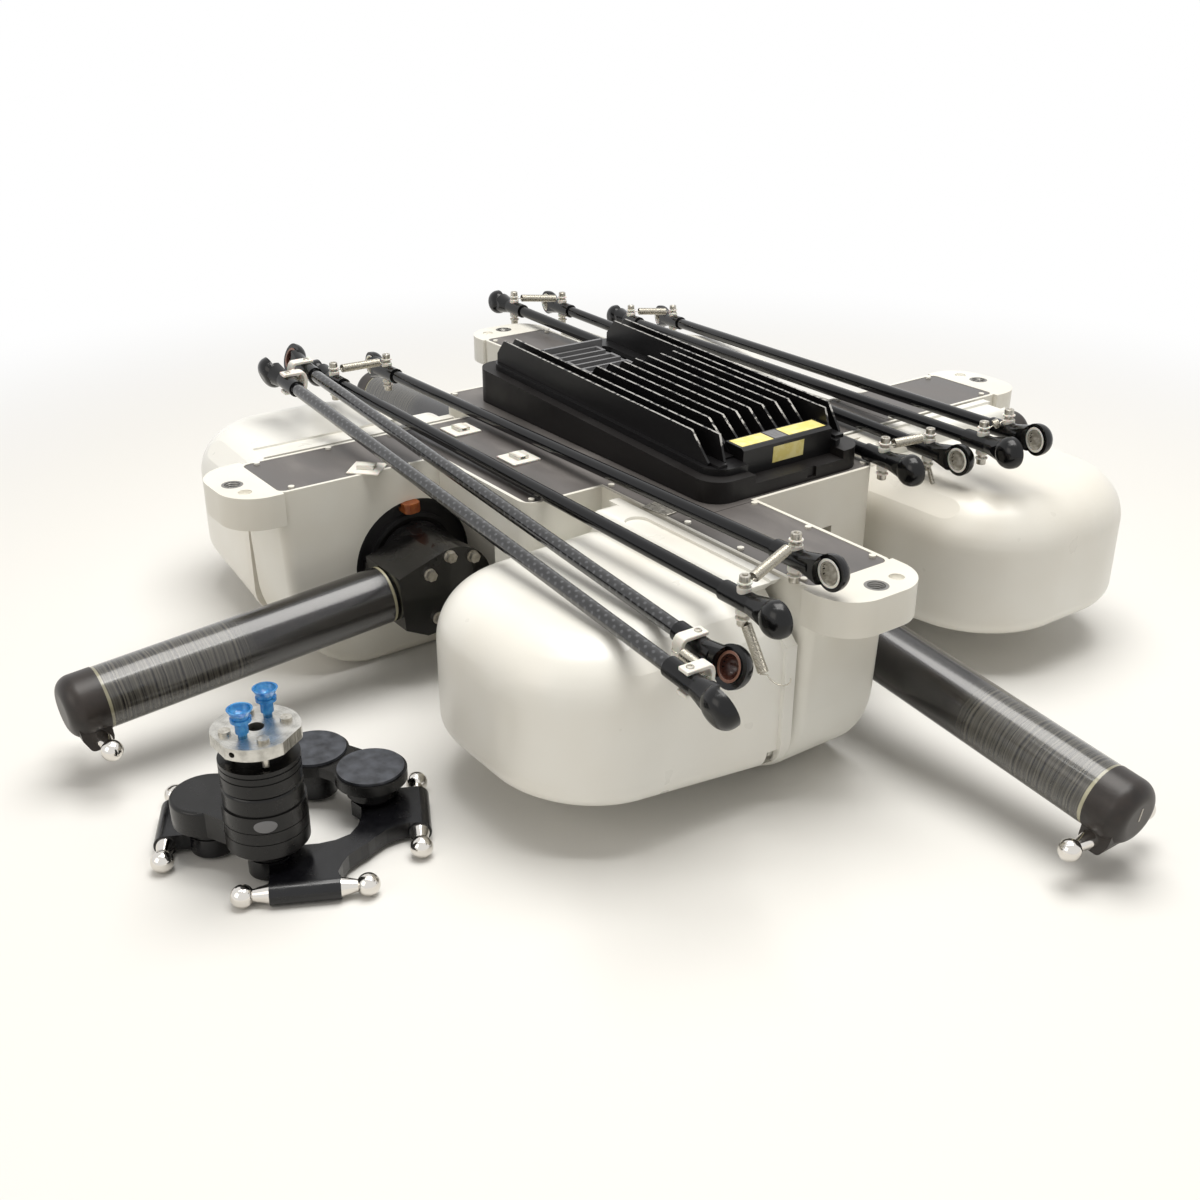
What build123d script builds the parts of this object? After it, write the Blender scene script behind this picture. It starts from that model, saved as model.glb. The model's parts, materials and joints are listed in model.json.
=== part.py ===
from build123d import *
import math
import os

# Four-arm delta robot, laid out as it is stored on a floor: the base stands on its underside,
# the arms droop from their gearboxes, the outer rods lie on the deck in pairs, and the
# travelling plate lies upside down beside the base.
# Millimetres, +Z up, origin in the middle of the base underside, floor at z = 0.
# Arm 1 points along +X and arm 2 along +Y: everything on the base repeats every 90 degrees.

# ---- driving dimensions ----
ARMS = 4
HOLE_SQUARE = 650.0            # side of the square of mounting holes
HOLE_OFFSET = -98.7            # sideways distance of each hole from its arm plane
HOLE_REACH = math.sqrt(HOLE_SQUARE**2 / 2 - HOLE_OFFSET**2)
HOLE_R = 8.0
DECK_Z = 218.0                 # height of the base
PIVOT_R = 275.0                # arm pivots from the centre
PIVOT_Z = 108.5
ARM_LENGTH = 375.0             # pivot to ball axis
BALL_DROP = 27.0               # ball axis below the tube axis
BALL_GAP = 102.0
BALL_R = 10.0
ROD_LENGTH = 825.0             # ball centre to ball centre
WALL = 8.0

# base casting
CORE_REACH = 240.0             # flat outer face of each core block
CORE_SIDE = 122.0
WING_REACH = 423.0             # top of a wing's end face, which leans in towards the heel
WING_HEEL = 413.0
WING_IN = -48.0                # wing face beside the arm
WING_OUT = -150.0
SEAM_Y = -155.0                # face that a motor cover closes
PAD_REACH = 470.0
PAD_THICK = 34.0
PAD_CORNER = 40.0
HEEL_R = 92.0                  # rounded outer bottom corner of a wing
POCKET_R = 66.0                # round pocket in the core for the arm hub
SEAL_R = 69.5
BORE_R = 50.5
PANEL_RIM = 4.0
PANEL_CORNER = 8.0
PANEL_THICK = 3.0

# motor covers
COVER_X0 = 132.0
COVER_X1 = 416.0
COVER_NOSE = -399.0
COVER_LIP = 12.0               # depth of the lip round the sides
COVER_BAND = 40.0              # depth of the raised band along the top
COVER_Z0 = 31.0
COVER_AT_NOSE = (146.0, 396.0, 52.0, 197.0)    # drafted body: x and z ranges at the nose
COVER_AT_SEAM = (135.0, 412.0, 34.0, 200.0)    # and where it meets the casting
COVER_SKIN = 8.0
COVER_SCREW = (398.0, 52.0)     # x and z of the screw in the lower corner

# arms
TUBE_R = 30.0
TUBE_WALL = 3.0
TUBE_START = 64.0
TUBE_END = 362.0
CAP_END = 397.0
HUB_R = 44.0
HUB_BACK_R = 46.0
HUB_FACE = 37.0
HUB_BACK = -46.5
SPIGOT_R = 24.0
BOLT_CIRCLE = 36.7
ARM_DROOP = [6.9, 4.0, 2.0, 4.5]

# amplifier
AMP_X0 = -205.0
AMP_X1 = 232.0
AMP_Y0 = -98.0
AMP_Y1 = 110.0
AMP_FRONT_H = 22.0
AMP_REAR_H = 40.0
FIN_THICK = 2.6
FIN_HEIGHT = 36.0

# rods
ROD_R = 7.0
CUP_R = 16.5
OLD_CUP_R = 18.5               # cups of the pair with bracket hooks, tilted up
OLD_CUP_TILT = 20.0
CUP_BACK = 14.5
LINER_R = 13.2
NECK_R = 9.2
BOLT_BACK = 42.0               # spring bolt behind the ball centre
BOLT_HALF = 23.0
SPRING_R = 5.1
HOOK_LEVEL = 14.0              # spring hooks above the rod axis
HOOK_REACH = 19.5              # older bracket hooks, towards the other rod

# travelling plate
PLATE_CENTRE = (190.0, -532.0)
PLATE_TURN = -27.0
PLATE_REACH = 105.4            # ball bars from the centre
BAR_SHIFT = 8.6                # ball bars to one side of the centre
BAR_R = 10.0
BAR_Z = 10.0
PIVOT_A = (60.0, -21.0)
PIVOT_B = (-16.0, 65.3)
HALF_SHIFT = (4.0, -7.0)       # second half of the plate, after half a turn about the centre
ADAPTER_TURN = 17.0


def slab(x0, x1, y0, y1, z0, z1):
    """Rectangular block between opposite corners."""
    block = Box(x1 - x0, y1 - y0, z1 - z0)
    return Pos((x0 + x1) / 2, (y0 + y1) / 2, (z0 + z1) / 2) * block


def rod_y(x, z, y0, y1, r):
    """Cylinder along Y."""
    return Pos(x, (y0 + y1) / 2, z) * Rot(90, 0, 0) * Cylinder(r, y1 - y0)


def rod_x(x0, x1, y, z, r):
    """Cylinder along X."""
    return Pos((x0 + x1) / 2, y, z) * Rot(0, 90, 0) * Cylinder(r, x1 - x0)


def rod_z(x, y, z0, z1, r):
    """Cylinder along Z."""
    return Pos(x, y, (z0 + z1) / 2) * Cylinder(r, z1 - z0)


def prism(points, z0, z1):
    """Upright prism on a polygon."""
    return Pos(0, 0, z0) * extrude(make_face(Polyline(*points, close=True)), z1 - z0)


def side_prism(points, y0, y1):
    """Prism along Y on an XZ polygon."""
    face = make_face(Polyline(*[(x, y0, z) for x, z in points], close=True))
    return extrude(face, amount=y1 - y0, dir=(0, 1, 0))


def spin(shape, turn):
    """Shape turned about the base axis by so many quarter turns."""
    return Rot(0, 0, 90 * turn) * shape


def four(maker):
    """One copy of a shape for each quarter of the base."""
    return [spin(maker(), turn) for turn in range(ARMS)]


def edges_along(shape, axis, test):
    """Edges parallel to an axis whose centre passes a test."""
    return [e for e in shape.edges().filter_by(axis) if test(e.center())]


def save(name, solids):
    """Writes one node: one solid or a group of separate solids."""
    if not isinstance(solids, list):
        solids = [solids]
    flat = []
    for item in solids:
        flat.extend(item.solids())
    shape = flat[0] if len(flat) == 1 else Compound(children=flat)
    export_step(shape, f"parts/{name}.step")
    print(name, len(flat), "solids", round(sum(s.volume for s in flat) / 1000, 1), "cm3")


# ---- base ----
def wing():
    """Wing of the casting that holds a gearbox, with its mounting pad."""
    arm = side_prism([(0, 0), (WING_HEEL, 0), (WING_REACH, DECK_Z), (0, DECK_Z)], WING_OUT, WING_IN)
    arm = fillet(edges_along(arm, Axis.Y, lambda c: c.X > 400 and c.Z < 10), HEEL_R)
    arm = fillet(edges_along(arm, Axis.X, lambda c: c.Z < 1), 12)
    pad = slab(WING_REACH - 6, PAD_REACH, WING_OUT - 5, WING_IN + 3, DECK_Z - PAD_THICK, DECK_Z)
    pad = fillet(edges_along(pad, Axis.Z, lambda c: c.X > 450), PAD_CORNER)
    return arm + pad


def core():
    """Block of the casting between two wings."""
    block = slab(0, CORE_REACH, WING_OUT, CORE_SIDE, 0, DECK_Z)
    block = fillet(edges_along(block, Axis.Z, lambda c: c.X > 200 and c.Y > 0), 18)
    return block


def hub_pocket():
    """Room for the arm hub, and for the tube when the arm folds in under the base."""
    room = rod_y(PIVOT_R, PIVOT_Z, WING_IN, 60, POCKET_R)
    fold = [(PIVOT_R - 20, PIVOT_Z + 30), (148, -1), (PIVOT_R, -1), (PIVOT_R, PIVOT_Z + 30)]
    return room + side_prism(fold, WING_IN, 50)


def bearing_bore():
    """Stepped bore through a wing for the gearbox and its seal ring."""
    bore = rod_y(PIVOT_R, PIVOT_Z, WING_OUT - 1, WING_IN + 1, BORE_R)
    return bore + rod_y(PIVOT_R, PIVOT_Z, WING_IN - 9, WING_IN + 1, SEAL_R + 0.1)


def wing_cavity():
    """Hollow of a wing, apart from the tube round the gearbox bore."""
    hollow = slab(100, WING_HEEL - WALL + 2, WING_OUT + WALL, WING_IN - WALL, 10, DECK_Z + 1)
    hollow = fillet(edges_along(hollow, Axis.Y, lambda c: c.X > 400 and c.Z < 20), HEEL_R - WALL)
    keep = rod_y(PIVOT_R, PIVOT_Z, WING_OUT, WING_IN, SEAL_R + 7)
    return hollow - keep


def panel_plan(rim, z0, z1):
    """The whole top of the base inside its rim."""
    centre = slab(-CORE_SIDE, CORE_SIDE, -CORE_SIDE, CORE_SIDE, z0, z1)
    for turn in range(ARMS):
        block = slab(0, CORE_REACH - rim, WING_OUT + rim, CORE_SIDE - rim, z0, z1)
        block = fillet(edges_along(block, Axis.Z, lambda c: c.X > 200 and c.Y > 0), PANEL_CORNER)
        arm = slab(0, WING_REACH - rim, WING_OUT + rim, WING_IN - rim, z0, z1)
        arm = fillet(edges_along(arm, Axis.Z, lambda c: c.X > 400), PANEL_CORNER)
        centre = centre + spin(block, turn) + spin(arm, turn)
    return centre


def mounting_hole(r, z0, z1):
    """Upright cylinder at the mounting hole of arm 1."""
    return rod_z(HOLE_REACH, HOLE_OFFSET, z0, z1, r)


def base_casting():
    """White casting: four wings round a hollow core, open on top under the panels."""
    body = None
    for part in four(wing) + four(core):
        body = part if body is None else body + part
    body = body - slab(-140, 140, -140, 140, 10, DECK_Z + 1)
    for part in four(wing_cavity):
        body = body - part
    for part in four(hub_pocket) + four(bearing_bore):
        body = body - part
    body = body - panel_plan(PANEL_RIM, DECK_Z - PANEL_THICK, DECK_Z + 1)
    for turn in range(ARMS):
        body = body - spin(mounting_hole(HOLE_R + 3, DECK_Z - PAD_THICK - 1, DECK_Z + 1), turn)
        dimple = Pos(HOLE_REACH - 2, HOLE_OFFSET + 27, DECK_Z) * Sphere(7)
        body = body - spin(dimple, turn)
    return body


def deck_panels():
    """Grey cover sheets let into the top: one over the core, one on each wing."""
    sheet = panel_plan(PANEL_RIM + 0.4, DECK_Z - PANEL_THICK, DECK_Z - 0.4)
    seam = CORE_REACH + 0.4
    middle = sheet & slab(-seam, seam, -seam, seam, 0, DECK_Z + 5)
    wings = []
    for turn in range(ARMS):
        end = slab(CORE_REACH + 1.2, PAD_REACH, WING_OUT, WING_IN, 0, DECK_Z + 5)
        wings.append(sheet & spin(end, turn))
    return [middle] + wings


def housing_screws():
    """Low button heads along the panel edges, and one in the lower corner of each cover."""
    spots = [(CORE_REACH + 7, -141), (CORE_REACH + 7, -57), (404, -141), (404, -57), (322, -57), (322, -141)]
    spots += [(126, -141), (228, 112)]
    heads = []
    for turn in range(ARMS):
        for x, y in spots:
            heads.append(spin(rod_z(x, y, DECK_Z - 0.4, DECK_Z + 1.6, 3.2), turn))
        corner = rod_y(*COVER_SCREW, SEAM_Y - COVER_LIP - 2, SEAM_Y - COVER_LIP + 4, 5)
        heads.append(spin(corner, turn))
    return heads


def cover_section(ranges, y, inset):
    """Rectangle in an XZ plane, from its x and z ranges less an inset."""
    x0, x1, z0, z1 = ranges
    plane = Plane(origin=((x0 + x1) / 2, y, (z0 + z1) / 2), x_dir=(1, 0, 0), z_dir=(0, -1, 0))
    return plane * Rectangle(x1 - x0 - 2 * inset, z1 - z0 - 2 * inset)


def cover_form(inset):
    """Outer form of a motor cover, or of its hollow with an inset."""
    tip = COVER_NOSE + inset
    nose = loft([cover_section(COVER_AT_NOSE, tip, inset), cover_section(COVER_AT_SEAM, SEAM_Y, inset)], ruled=True)
    nose = fillet(edges_along(nose, Axis.Z, lambda c: c.Y < tip + 1), 100 - inset)
    for level, r in ((-1, 52), (0, 26)):
        face = nose.faces().sort_by(Axis.Z)[level]
        nose = fillet([e for e in face.edges() if e.center().Y < SEAM_Y - 1], r - inset)
    lip = slab(COVER_X0 + inset, COVER_X1 - inset, SEAM_Y - COVER_LIP + inset, SEAM_Y,
               COVER_Z0 + inset, DECK_Z - inset)
    lip = fillet(edges_along(lip, Axis.Y, lambda c: c.Z < 100), 40 - inset)
    lip = fillet(edges_along(lip, Axis.Y, lambda c: c.Z > 200), 21 - inset)
    return nose + lip


def shoulder(side, depth):
    """Flat oblong scoop along one upper shoulder of a cover."""
    pick = 1 if side > 0 else 0
    root = Vector(COVER_AT_SEAM[pick], SEAM_Y, COVER_AT_SEAM[3])
    along = (Vector(COVER_AT_NOSE[pick], COVER_NOSE, COVER_AT_NOSE[3]) - root).normalized()
    out = Vector(side, 0, 1)
    plane = Plane(origin=root, x_dir=along, z_dir=out - along * out.dot(along))
    return plane * Pos(COVER_LIP + 60, 0, -depth) * extrude(SlotOverall(200, 56), 60)


def motor_cover():
    """Moulded cover over one motor, open towards the casting."""
    band = slab(COVER_X0 + 24, COVER_X1 - 4, SEAM_Y - COVER_BAND, SEAM_Y, COVER_AT_SEAM[3] - 6, DECK_Z)
    band = fillet(edges_along(band, Axis.Y, lambda c: c.Z > 210), 20)
    band = fillet(edges_along(band, Axis.Z, lambda c: c.Y < SEAM_Y - 1), 9)
    solid = cover_form(0) + band
    shell = solid - Pos(300, SEAM_Y - 22, DECK_Z - 3) * extrude(SlotOverall(192, 25), 10)
    shell = shell - shoulder(1, 23) - shoulder(-1, 23) - cover_form(COVER_SKIN)
    boss = rod_y(*COVER_SCREW, SEAM_Y - COVER_LIP - 30, SEAM_Y, 13) & solid
    notch = rod_y(*COVER_SCREW, SEAM_Y - COVER_LIP - 11, SEAM_Y - COVER_LIP + 4, 8)
    open_side = slab(COVER_SCREW[0], 430, SEAM_Y - COVER_LIP - 11, SEAM_Y - COVER_LIP + 1, COVER_SCREW[1] - 8, COVER_SCREW[1] + 8)
    return shell + boss - notch - open_side


def servo_motor():
    """Motor on the outer end of a gearbox, inside a cover."""
    body = slab(PIVOT_R - 42, PIVOT_R + 42, -330, SEAM_Y - 2, PIVOT_Z - 42, PIVOT_Z + 42)
    body = fillet(body.edges().filter_by(Axis.Y), 10)
    return body + rod_y(PIVOT_R, PIVOT_Z, -362, -330, 34)


def gearbox():
    """Reducer through a wing, with a bore that the arm spigot runs in."""
    box = rod_y(PIVOT_R, PIVOT_Z, SEAM_Y - 2, WING_IN - 2.5, BORE_R - 0.5)
    return box - rod_y(PIVOT_R, PIVOT_Z, -76, WING_IN, SPIGOT_R + 0.05)


def seal_ring():
    """Grooved black ring that closes the gap round a hub."""
    ring = rod_y(PIVOT_R, PIVOT_Z, WING_IN - 9, WING_IN - 1, SEAL_R)
    ring = ring - rod_y(PIVOT_R, PIVOT_Z, WING_IN - 10, WING_IN - 2.4, BORE_R)
    ring = ring - rod_y(PIVOT_R, PIVOT_Z, WING_IN - 3, WING_IN, BORE_R - 2)
    groove = rod_y(PIVOT_R, PIVOT_Z, WING_IN - 6, WING_IN, 66) - rod_y(PIVOT_R, PIVOT_Z, WING_IN - 7, WING_IN, 53)
    return ring - groove


def stop_block():
    """Rubber stop in the groove of a seal ring, which the hub lug meets at the top of its travel."""
    block = slab(-9, 9, WING_IN - 1, WING_IN + 12, 58.5, 69)
    block = chamfer(edges_along(block, Axis.Z, lambda c: c.Y > WING_IN + 10), 4)
    block = block + slab(-9, 9, WING_IN - 6, WING_IN - 1, 58.5, 65)
    return Pos(PIVOT_R, 0, PIVOT_Z) * Rot(0, 3, 0) * block


def mounting_insert():
    """Threaded steel sleeve in a mounting pad."""
    sleeve = mounting_hole(HOLE_R + 3, DECK_Z - PAD_THICK, DECK_Z)
    return sleeve - mounting_hole(HOLE_R, DECK_Z - PAD_THICK - 1, DECK_Z + 1)


# ---- amplifier on the deck ----
AMP_TILT = math.degrees(math.atan2(AMP_REAR_H - AMP_FRONT_H, AMP_X1 - AMP_X0))
AMP_MID_Y = (AMP_Y0 + AMP_Y1) / 2
END_BLOCK_Y = (-49, 72)        # end block of the heat sink, let down into the front of the base
END_BLOCK_FOOT = -9.0


def on_amplifier(shape):
    """Moves a shape from the heat sink's own frame onto the sloping base."""
    return Pos(AMP_X1, AMP_MID_Y, DECK_Z + AMP_FRONT_H) * Rot(0, AMP_TILT, 0) * shape


def amplifier_base():
    """Wedge-shaped box under the heat sink, higher at the rear."""
    sides = [(AMP_X0, DECK_Z), (AMP_X1, DECK_Z), (AMP_X1, DECK_Z + AMP_FRONT_H), (AMP_X0, DECK_Z + AMP_REAR_H)]
    wedge = side_prism(sides, AMP_Y0, AMP_Y1)
    wedge = fillet(wedge.edges().filter_by(Axis.Z), 26)
    inner = slab(AMP_X0 + 6, AMP_X1 - 40, AMP_Y0 + 6, AMP_Y1 - 6, DECK_Z + 4, DECK_Z + AMP_FRONT_H - 5)
    inner = fillet(inner.edges().filter_by(Axis.Z), 20)
    wedge = wedge - inner
    slot = slab(AMP_X1 - 3, AMP_X1 + 1, 28, 40, DECK_Z + 3, DECK_Z + AMP_FRONT_H + 2)
    ledge = slab(-30, 5, *END_BLOCK_Y, END_BLOCK_FOOT, 5)
    return wedge - slot - on_amplifier(ledge)


def fin(y, start, brink, foot):
    """One cooling fin with a sloping front edge from brink to foot and a chamfered rear corner."""
    points = [(start, 6), (foot, 6), (foot, 10), (brink, FIN_HEIGHT), (start + 14, FIN_HEIGHT), (start, FIN_HEIGHT - 18)]
    return side_prism(points, y - FIN_THICK / 2, y + FIN_THICK / 2)


def heat_sink():
    """Finned aluminium top of the amplifier, with an end block that carries the labels."""
    length = AMP_X1 - AMP_X0
    plate = slab(-length + 12, -12, AMP_Y0 - AMP_MID_Y + 12, AMP_Y1 - AMP_MID_Y - 12, 0, 7)
    plate = fillet(plate.edges().filter_by(Axis.Z), 24)
    plate = plate + slab(-length + 30, -34, -84, 86, 6, 9)
    for y, brink, foot in ((-85, -58, -30), (-69.5, -34, -24), (74, -34, -24), (90, -46, -26)):
        plate = plate + fin(y, -length + 24, brink, foot)
    for index in range(7):
        plate = plate + fin(-48 + 18 * index, -length + 155, -76, -40)
    plate = plate - slab(-24, 0, *END_BLOCK_Y, -1, 8)
    foot = END_BLOCK_FOOT
    outline = [(-52, 6), (-30, 6), (-30, foot), (-20, foot), (-20, 18), (-24, 20), (-48, 20)]
    plate = plate + side_prism(outline, *END_BLOCK_Y)
    for y in (-77, 82):
        plate = plate + slab(-44, -18, y - 6, y + 6, 6, 10)
    window = slab(-length + 40, -length + 145, -52, 58, -1, 20)
    window = fillet(window.edges().filter_by(Axis.Z), 12)
    return on_amplifier(plate - window)


def amplifier_connectors():
    """Sockets in the rear window, with a bright locking rail."""
    length = AMP_X1 - AMP_X0
    bed = slab(-length + 42, -length + 143, -50, 56, 0.2, 3)
    bed = fillet(bed.edges().filter_by(Axis.Z), 10)
    parts = [bed]
    for index in range(3):
        x = -length + 66 + 30 * index
        socket = slab(x - 9, x + 9, -34, 34, 3, 16) - slab(x - 6, x + 6, -30, 30, 8, 17)
        parts.append(socket)
    rail = slab(-length + 50, -length + 54, -40, 44, 3, 22)
    parts.append(fillet(rail.edges().filter_by(Axis.X), 1.5))
    return [on_amplifier(part) for part in parts]


# ---- arms: built with the pivot at the origin, the tube along +X and the pivot axis along Y ----
def hub():
    """Arm hub with a bolted face, a neck that takes the tube and a spigot in the gearbox."""
    profile = Polyline((0, HUB_BACK), (HUB_BACK_R, HUB_BACK), (HUB_BACK_R, HUB_BACK + 9))
    waist = ThreePointArc((HUB_BACK_R, HUB_BACK + 9), (HUB_R - 1, -12), (HUB_R, HUB_FACE - 18))
    rest = Polyline((HUB_R, HUB_FACE - 18), (HUB_R, HUB_FACE), (0, HUB_FACE), (0, HUB_BACK))
    face = make_face([profile, waist, rest])
    drum = revolve(Plane.XY * face, Axis.Y)
    drum = drum + rod_y(0, 0, -74, HUB_BACK, SPIGOT_R)
    outline = [(0, 43.5), (14, 42), (TUBE_START - 2, 30), (TUBE_START - 2, -29), (38, -43.5), (0, -43.5)]
    neck = side_prism(outline, HUB_BACK + 12, HUB_FACE)
    spigot = rod_x(TUBE_START - 3, TUBE_START + 30, 0, 0, TUBE_R - TUBE_WALL)
    lug = Rot(0, 78, 0) * slab(-8, 8, HUB_BACK + 1, HUB_BACK + 12, 40, 64)
    return drum + neck + spigot + lug


def tube():
    """Wound carbon tube bonded over the hub and cap spigots."""
    return rod_x(TUBE_START, TUBE_END, 0, 0, TUBE_R) - rod_x(TUBE_START - 1, TUBE_END + 1, 0, 0, TUBE_R - TUBE_WALL)


def end_cap():
    """Rounded cap with a lug below that carries the ball studs."""
    cap = rod_x(TUBE_END, CAP_END, 0, 0, TUBE_R + 0.5)
    cap = fillet(cap.edges().filter_by(GeomType.CIRCLE).sort_by(Axis.X)[-1], 15)
    reach = math.sqrt(ARM_LENGTH**2 - BALL_DROP**2)
    points = [(TUBE_END + 1, -10), (CAP_END - 5, -10), (CAP_END - 6, -24), (reach + 11, -BALL_DROP - 11),
              (reach - 9, -BALL_DROP - 11), (TUBE_END + 1, -29)]
    lug = side_prism(points, -24.5, 24.5)
    lug = fillet(edges_along(lug, Axis.Y, lambda c: c.Z < -BALL_DROP - 10), 6)
    spigot = rod_x(TUBE_END - 30, TUBE_END + 1, 0, 0, TUBE_R - TUBE_WALL)
    cap = cap + lug + spigot
    return cap - rod_y(reach, -BALL_DROP, -30, 30, 6)


def ball_stud(half, seat):
    """Chrome ball stud along +Y: ball centre at half, seated on a face at seat."""
    ball = Pos(0, half, 0) * Sphere(BALL_R)
    cone = Pos(0, seat, 0) * Rot(-90, 0, 0) * Cone(8.5, 4.6, half - seat - 6, align=(Align.CENTER, Align.CENTER, Align.MIN))
    return ball + cone


def arm_studs():
    """Two ball studs on one cross pin through the cap lug."""
    reach = math.sqrt(ARM_LENGTH**2 - BALL_DROP**2)
    half = BALL_GAP / 2
    right = ball_stud(half, 24.5)
    pair = right + Rot(0, 0, 180) * right + rod_y(0, 0, -24.5, 24.5, 6)
    return Pos(reach, 0, -BALL_DROP) * pair


def hub_bolts():
    """Seven hex bolts with washers on the hub face: the place beside the tube has none."""
    bolts = []
    for index in range(8):
        angle = math.radians(41 + 45 * index)
        x, z = BOLT_CIRCLE * math.cos(angle), BOLT_CIRCLE * math.sin(angle)
        if index == 7:
            continue
        washer = rod_y(x, z, HUB_FACE, HUB_FACE + 1.4, 6.6)
        head = Pos(x, HUB_FACE + 1.4, z) * Rot(-90, 0, 0) * extrude(RegularPolygon(6.0, 6), 5.5)
        bolts.append(washer + head)
    return bolts


def place_arm(shape, turn):
    """Droops an arm part about its pivot and puts it on its side of the base."""
    return spin(Pos(PIVOT_R, 0, PIVOT_Z) * Rot(0, ARM_DROOP[turn], 0) * shape, turn)


# ---- outer rods ----
# Each pair: ball centres of two rods, (left end, right end), and whether it has the older hooks.
ROD_PAIRS = {
    "a": (((-320, -301, 39), (503, -316, -20)), ((-360, -259, 38), (463, -275, -17))),
    "b": (((-369, -221, 12), (456, -219, 6)), ((-380, -143, 6), (444, -152, 24))),
    "c": (((-533, 146, 16), (291, 118, 10)), ((-524, 224, 6), (300, 176, 11))),
    "d": (((-471, 314, -17), (345, 202, 27)), ((-450, 379, -23), (357, 222, 40))),
}


def rod_frame(ends):
    """Location at the left ball centre with X towards the right one, and the exact far point."""
    a = Vector(ends[0][0], ends[0][1], ends[0][2] + DECK_Z)
    b = Vector(ends[1][0], ends[1][1], ends[1][2] + DECK_Z)
    along = (b - a).normalized()
    side = Vector(0, 0, 1).cross(along).normalized()
    mid = (a + b) * 0.5
    start = mid - along * (ROD_LENGTH / 2)
    return Plane(origin=start, x_dir=along, z_dir=along.cross(side)).location


def socket_end(face, cup_r):
    """Rod end at the left ball: cup open towards face (+1 or -1 along Y), neck along +X."""
    neck = rod_x(20, 66, 0, 0, NECK_R)
    flare = Pos(31, 0, 0) * Rot(0, -90, 0) * Cone(NECK_R, 13.5, 22, align=(Align.CENTER, Align.CENTER, Align.MIN))
    cup = rod_y(0, 0, -0.5, CUP_BACK, cup_r)
    cup = fillet(cup.edges().filter_by(GeomType.CIRCLE).sort_by(Axis.Y)[-1], 12.5)
    end = neck + (flare & slab(5, 40, -8, CUP_BACK - 3, -20, 20)) + cup
    end = end - rod_y(0, 0, -20, 0, LINER_R) - Sphere(LINER_R) - rod_x(60, 67, 0, 0, ROD_R)
    return end if face < 0 else Rot(180, 0, 0) * end


def cup_liner(face):
    """Low-friction liner in a cup, with a spherical seat."""
    bowl = Sphere(LINER_R) & slab(-20, 20, 0, 20, -20, 20)
    liner = bowl + rod_y(0, 0, -1.5, 0, LINER_R)
    liner = liner - Sphere(BALL_R + 0.2) - rod_y(0, 0, -3, 0, BALL_R + 0.2)
    return liner if face < 0 else Rot(180, 0, 0) * liner


def both_ends(shape):
    """A left end part and its mirror at the right end."""
    far = Pos(ROD_LENGTH, 0, 0) * mirror(shape, Plane.YZ)
    return [shape, far]


def rod_tube():
    """Carbon rod between its two ends."""
    solid = rod_x(60, ROD_LENGTH - 60, 0, 0, ROD_R)
    return solid - rod_x(59, ROD_LENGTH - 59, 0, 0, ROD_R - 1.5)


def spring_bolt():
    """Head of a bolt through a rod end, with a collar and a washer that keep a spring hook."""
    collar = rod_z(BOLT_BACK, 0, NECK_R - 2, HOOK_LEVEL - 1.6, 6.35)
    shank = rod_z(BOLT_BACK, 0, NECK_R, BOLT_HALF - 6, 4)
    washer = rod_z(BOLT_BACK, 0, HOOK_LEVEL + 1.6, BOLT_HALF - 5.8, 6.4)
    head = rod_z(BOLT_BACK, 0, BOLT_HALF - 5.8, BOLT_HALF, 4.85)
    return collar + shank + washer + head - rod_x(20, 66, 0, 0, NECK_R)


def bracket_hook(toward):
    """Older plastic hook: a U round one side of a rod end, towards +1 or -1 along Y."""
    out, rim = HOOK_REACH + 2.5, NECK_R + 3.2
    hook = slab(BOLT_BACK - 6, BOLT_BACK + 6, -7, out, -rim, rim)
    hook = fillet(hook.edges().filter_by(Axis.Z), 5) if toward else hook
    hook = fillet(edges_along(hook, Axis.X, lambda c: c.Y > 0), 4)
    room = slab(BOLT_BACK - 7, BOLT_BACK + 7, -8, out - 4.5, -NECK_R + 0.8, NECK_R - 0.8)
    hook = hook - room - rod_x(20, 66, 0, 0, NECK_R)
    for up in (rim, -rim):
        hook = hook + rod_z(BOLT_BACK, 0, up - 1.2, up + 1.2, 3.4)
    return hook if toward > 0 else Rot(180, 0, 0) * hook


def spring_body(start, finish, gap):
    """Closed coil between two hook points, as a plain bar of the coil's diameter."""
    run = finish - start
    free = min(gap, 0.4 * run.length)
    plane = Plane(origin=start + run.normalized() * free, z_dir=run)
    return plane.location * Cylinder(SPRING_R, run.length - 2 * free, align=(Align.CENTER, Align.CENTER, Align.MIN))


def spring_hardware(pair, bracketed):
    """Bolts or brackets on all four ends of a pair, and the springs that join them."""
    frames = [rod_frame(rod) for rod in pair]
    parts = []
    for frame, toward in zip(frames, (1, -1)):
        if bracketed:
            parts += [frame * end for end in both_ends(bracket_hook(toward))]
            continue
        for up in (0, 180):
            parts += [frame * end for end in both_ends(Rot(up, 0, 0) * spring_bolt())]
    for at in (BOLT_BACK, ROD_LENGTH - BOLT_BACK):
        if bracketed:
            hooks = [frames[0] * Pos(at, HOOK_REACH, 0), frames[1] * Pos(at, -HOOK_REACH, 0)]
            parts.append(spring_body(hooks[0].position, hooks[1].position, 7))
        else:
            hooks = [frame * Pos(at, 0, HOOK_LEVEL) for frame in frames]
            parts.append(spring_body(hooks[0].position, hooks[1].position, 12))
    return parts


# ---- travelling plate, upside down on the floor: built about its own centre ----
def place_plate(shape):
    """Moves a part of the travelling plate to its place on the floor."""
    return Pos(PLATE_CENTRE[0], PLATE_CENTRE[1], 0) * Rot(0, 0, PLATE_TURN) * shape


def ball_bar():
    """Round bar along Y that carries two ball studs."""
    return rod_y(PLATE_REACH, BAR_Z, BAR_SHIFT - 29, BAR_SHIFT + 29, BAR_R)


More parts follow.
